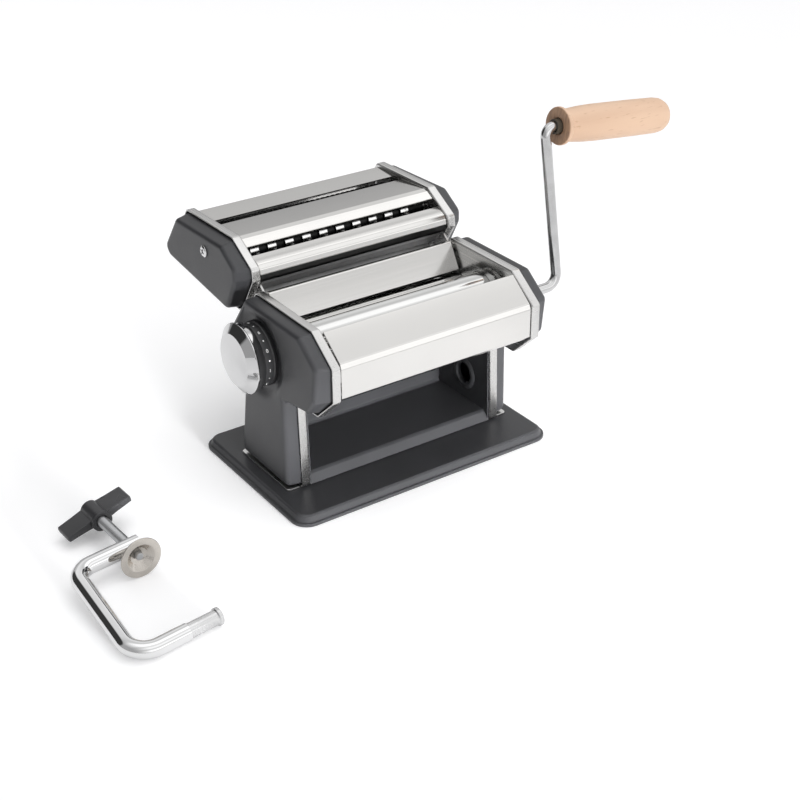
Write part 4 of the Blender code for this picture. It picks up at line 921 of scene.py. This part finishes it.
# Floor
# A plain white sweep that takes the shadows; the visible backdrop is white too.
floor_mesh = bpy.data.meshes.new("floor")
floor_mesh.from_pydata([(-6, -6, 0), (6, -6, 0), (6, 6, 0), (-6, 6, 0)], [], [(0, 1, 2, 3)])
floor = bpy.data.objects.new("floor", floor_mesh)
bpy.context.scene.collection.objects.link(floor)
floor_mat, tree, floor_shader = nodes_for("floor", (0.93, 0.93, 0.935), 0.9, 0.0)
floor_shader.inputs["Specular IOR Level"].default_value = 0.1
floor_shader.inputs["Emission Color"].default_value = (1, 1, 1, 1)
seen = tree.nodes.new("ShaderNodeLightPath")
glow = joined(tree, seen.outputs["Is Camera Ray"], 0.16, "MULTIPLY")
tree.links.new(glow, floor_shader.inputs["Emission Strength"])
floor_mesh.materials.append(floor_mat)


# Camera
# At the photograph's place, 1.02 m from the machine, looking down on it.
yaw, pitch, roll = math.radians(34.436), math.radians(29.249), math.radians(-0.386)
forward = Vector((math.sin(yaw) * math.cos(pitch), math.cos(yaw) * math.cos(pitch), -math.sin(pitch)))
right = Vector((math.cos(yaw), -math.sin(yaw), 0.0))
up = right.cross(forward)
right_rolled = right * math.cos(roll) + up * math.sin(roll)
up_rolled = up * math.cos(roll) - right * math.sin(roll)
data = bpy.data.cameras.new("camera")
data.lens = 65.68
data.sensor_width = 36.0
data.clip_start = 0.01
camera = bpy.data.objects.new("camera", data)
bpy.context.scene.collection.objects.link(camera)
camera.matrix_world = Matrix.Translation((-0.4752, -0.72166, 0.51569)) @ Matrix(
    (right_rolled, up_rolled, -forward)).transposed().to_4x4()
bpy.context.scene.camera = camera
bpy.context.scene.view_settings.view_transform = "Standard"


# Lamps
# Two soft boxes: a broad one overhead and a low gridded one in front that reaches the tray.
def lamp(name, place, target, size, power):
    """A soft box that faces a target."""
    data = bpy.data.lights.new(name, "AREA")
    data.shape = "RECTANGLE"
    data.size, data.size_y = size
    data.energy = power
    obj = bpy.data.objects.new(name, data)
    obj.location = place
    obj.rotation_euler = (Vector(target) - Vector(place)).to_track_quat("-Z", "Y").to_euler()
    bpy.context.scene.collection.objects.link(obj)
    return obj


lamp("top_box", (0.25, 0.15, 1.35), (0.05, 0.0, 0.05), (1.5, 1.1), 2.8).visible_glossy = False
tray_box = lamp("tray_box", (0.0, -0.9, 0.10), (0.0, 0.0, 0.035), (0.5, 0.12), 0.8)
tray_box.visible_glossy = False
tray_box.data.spread = math.radians(22.0)


# Room light
# A pale room by the lean from overhead: bright above and in a band in front, dimmer low at
# the back and on the left, with one dark doorway behind on the left for the bright metal.
world = bpy.data.worlds.new("studio")
bpy.context.scene.world = world
world.use_nodes = True
tree = world.node_tree
tree.nodes.clear()
coords = tree.nodes.new("ShaderNodeTexCoord")
split = tree.nodes.new("ShaderNodeSeparateXYZ")
tree.links.new(coords.outputs["Generated"], split.inputs[0])
ramp = tree.nodes.new("ShaderNodeValToRGB")
lean = joined(tree, split.outputs["Y"], split.outputs["Z"], "ARCTAN2")
tree.links.new(levels(tree, lean, -math.pi / 2, math.pi / 2, 0.0, 1.0), ramp.inputs["Fac"])
ramp.color_ramp.elements[0].color = (0.533, 0.533, 0.536, 1)
ramp.color_ramp.elements[1].color = (0.20, 0.20, 0.203, 1)
for degrees, bright in (
    (-87, 0.85), (-80, 1.42), (-65, 1.42), (-59, 0.85), (-54, 0.80), (-44, 1.25), (-33, 1.25),
    (-23, 0.96), (-14, 1.02), (-8, 1.42), (4, 1.42), (14, 1.35), (21, 0.86), (28, 0.72),
    (46, 0.95), (54, 0.98), (60, 0.68), (69, 0.56),
):
    stop = ramp.color_ramp.elements.new((degrees + 90) / 180)
    stop.color = (bright / 1.5, bright / 1.5, bright / 1.5 * 1.005, 1)
left = levels(tree, split.outputs["X"], -0.8, -0.1, 0.0, 1.0)
toned = blend_colour(tree, left, (0.30, 0.30, 0.303), ramp.outputs["Color"])
doorway = tree.nodes.new("ShaderNodeVectorMath")
doorway.operation = "DOT_PRODUCT"
doorway.inputs[1].default_value = (-0.621, 0.701, 0.351)
tree.links.new(coords.outputs["Generated"], doorway.inputs[0])
dark = levels(tree, doorway.outputs["Value"], 0.86, 0.905, 0.0, 1.0)
toned = blend_colour(tree, dark, toned, (0.03, 0.03, 0.03))
room = tree.nodes.new("ShaderNodeBackground")
tree.links.new(toned, room.inputs["Color"])
room.inputs["Strength"].default_value = 1.42
white = tree.nodes.new("ShaderNodeBackground")
white.inputs["Color"].default_value = (1, 1, 1, 1)
path_info = tree.nodes.new("ShaderNodeLightPath")
mix = tree.nodes.new("ShaderNodeMixShader")
tree.links.new(path_info.outputs["Is Camera Ray"], mix.inputs["Fac"])
tree.links.new(room.outputs[0], mix.inputs[1])
tree.links.new(white.outputs[0], mix.inputs[2])
out = tree.nodes.new("ShaderNodeOutputWorld")
tree.links.new(mix.outputs[0], out.inputs["Surface"])
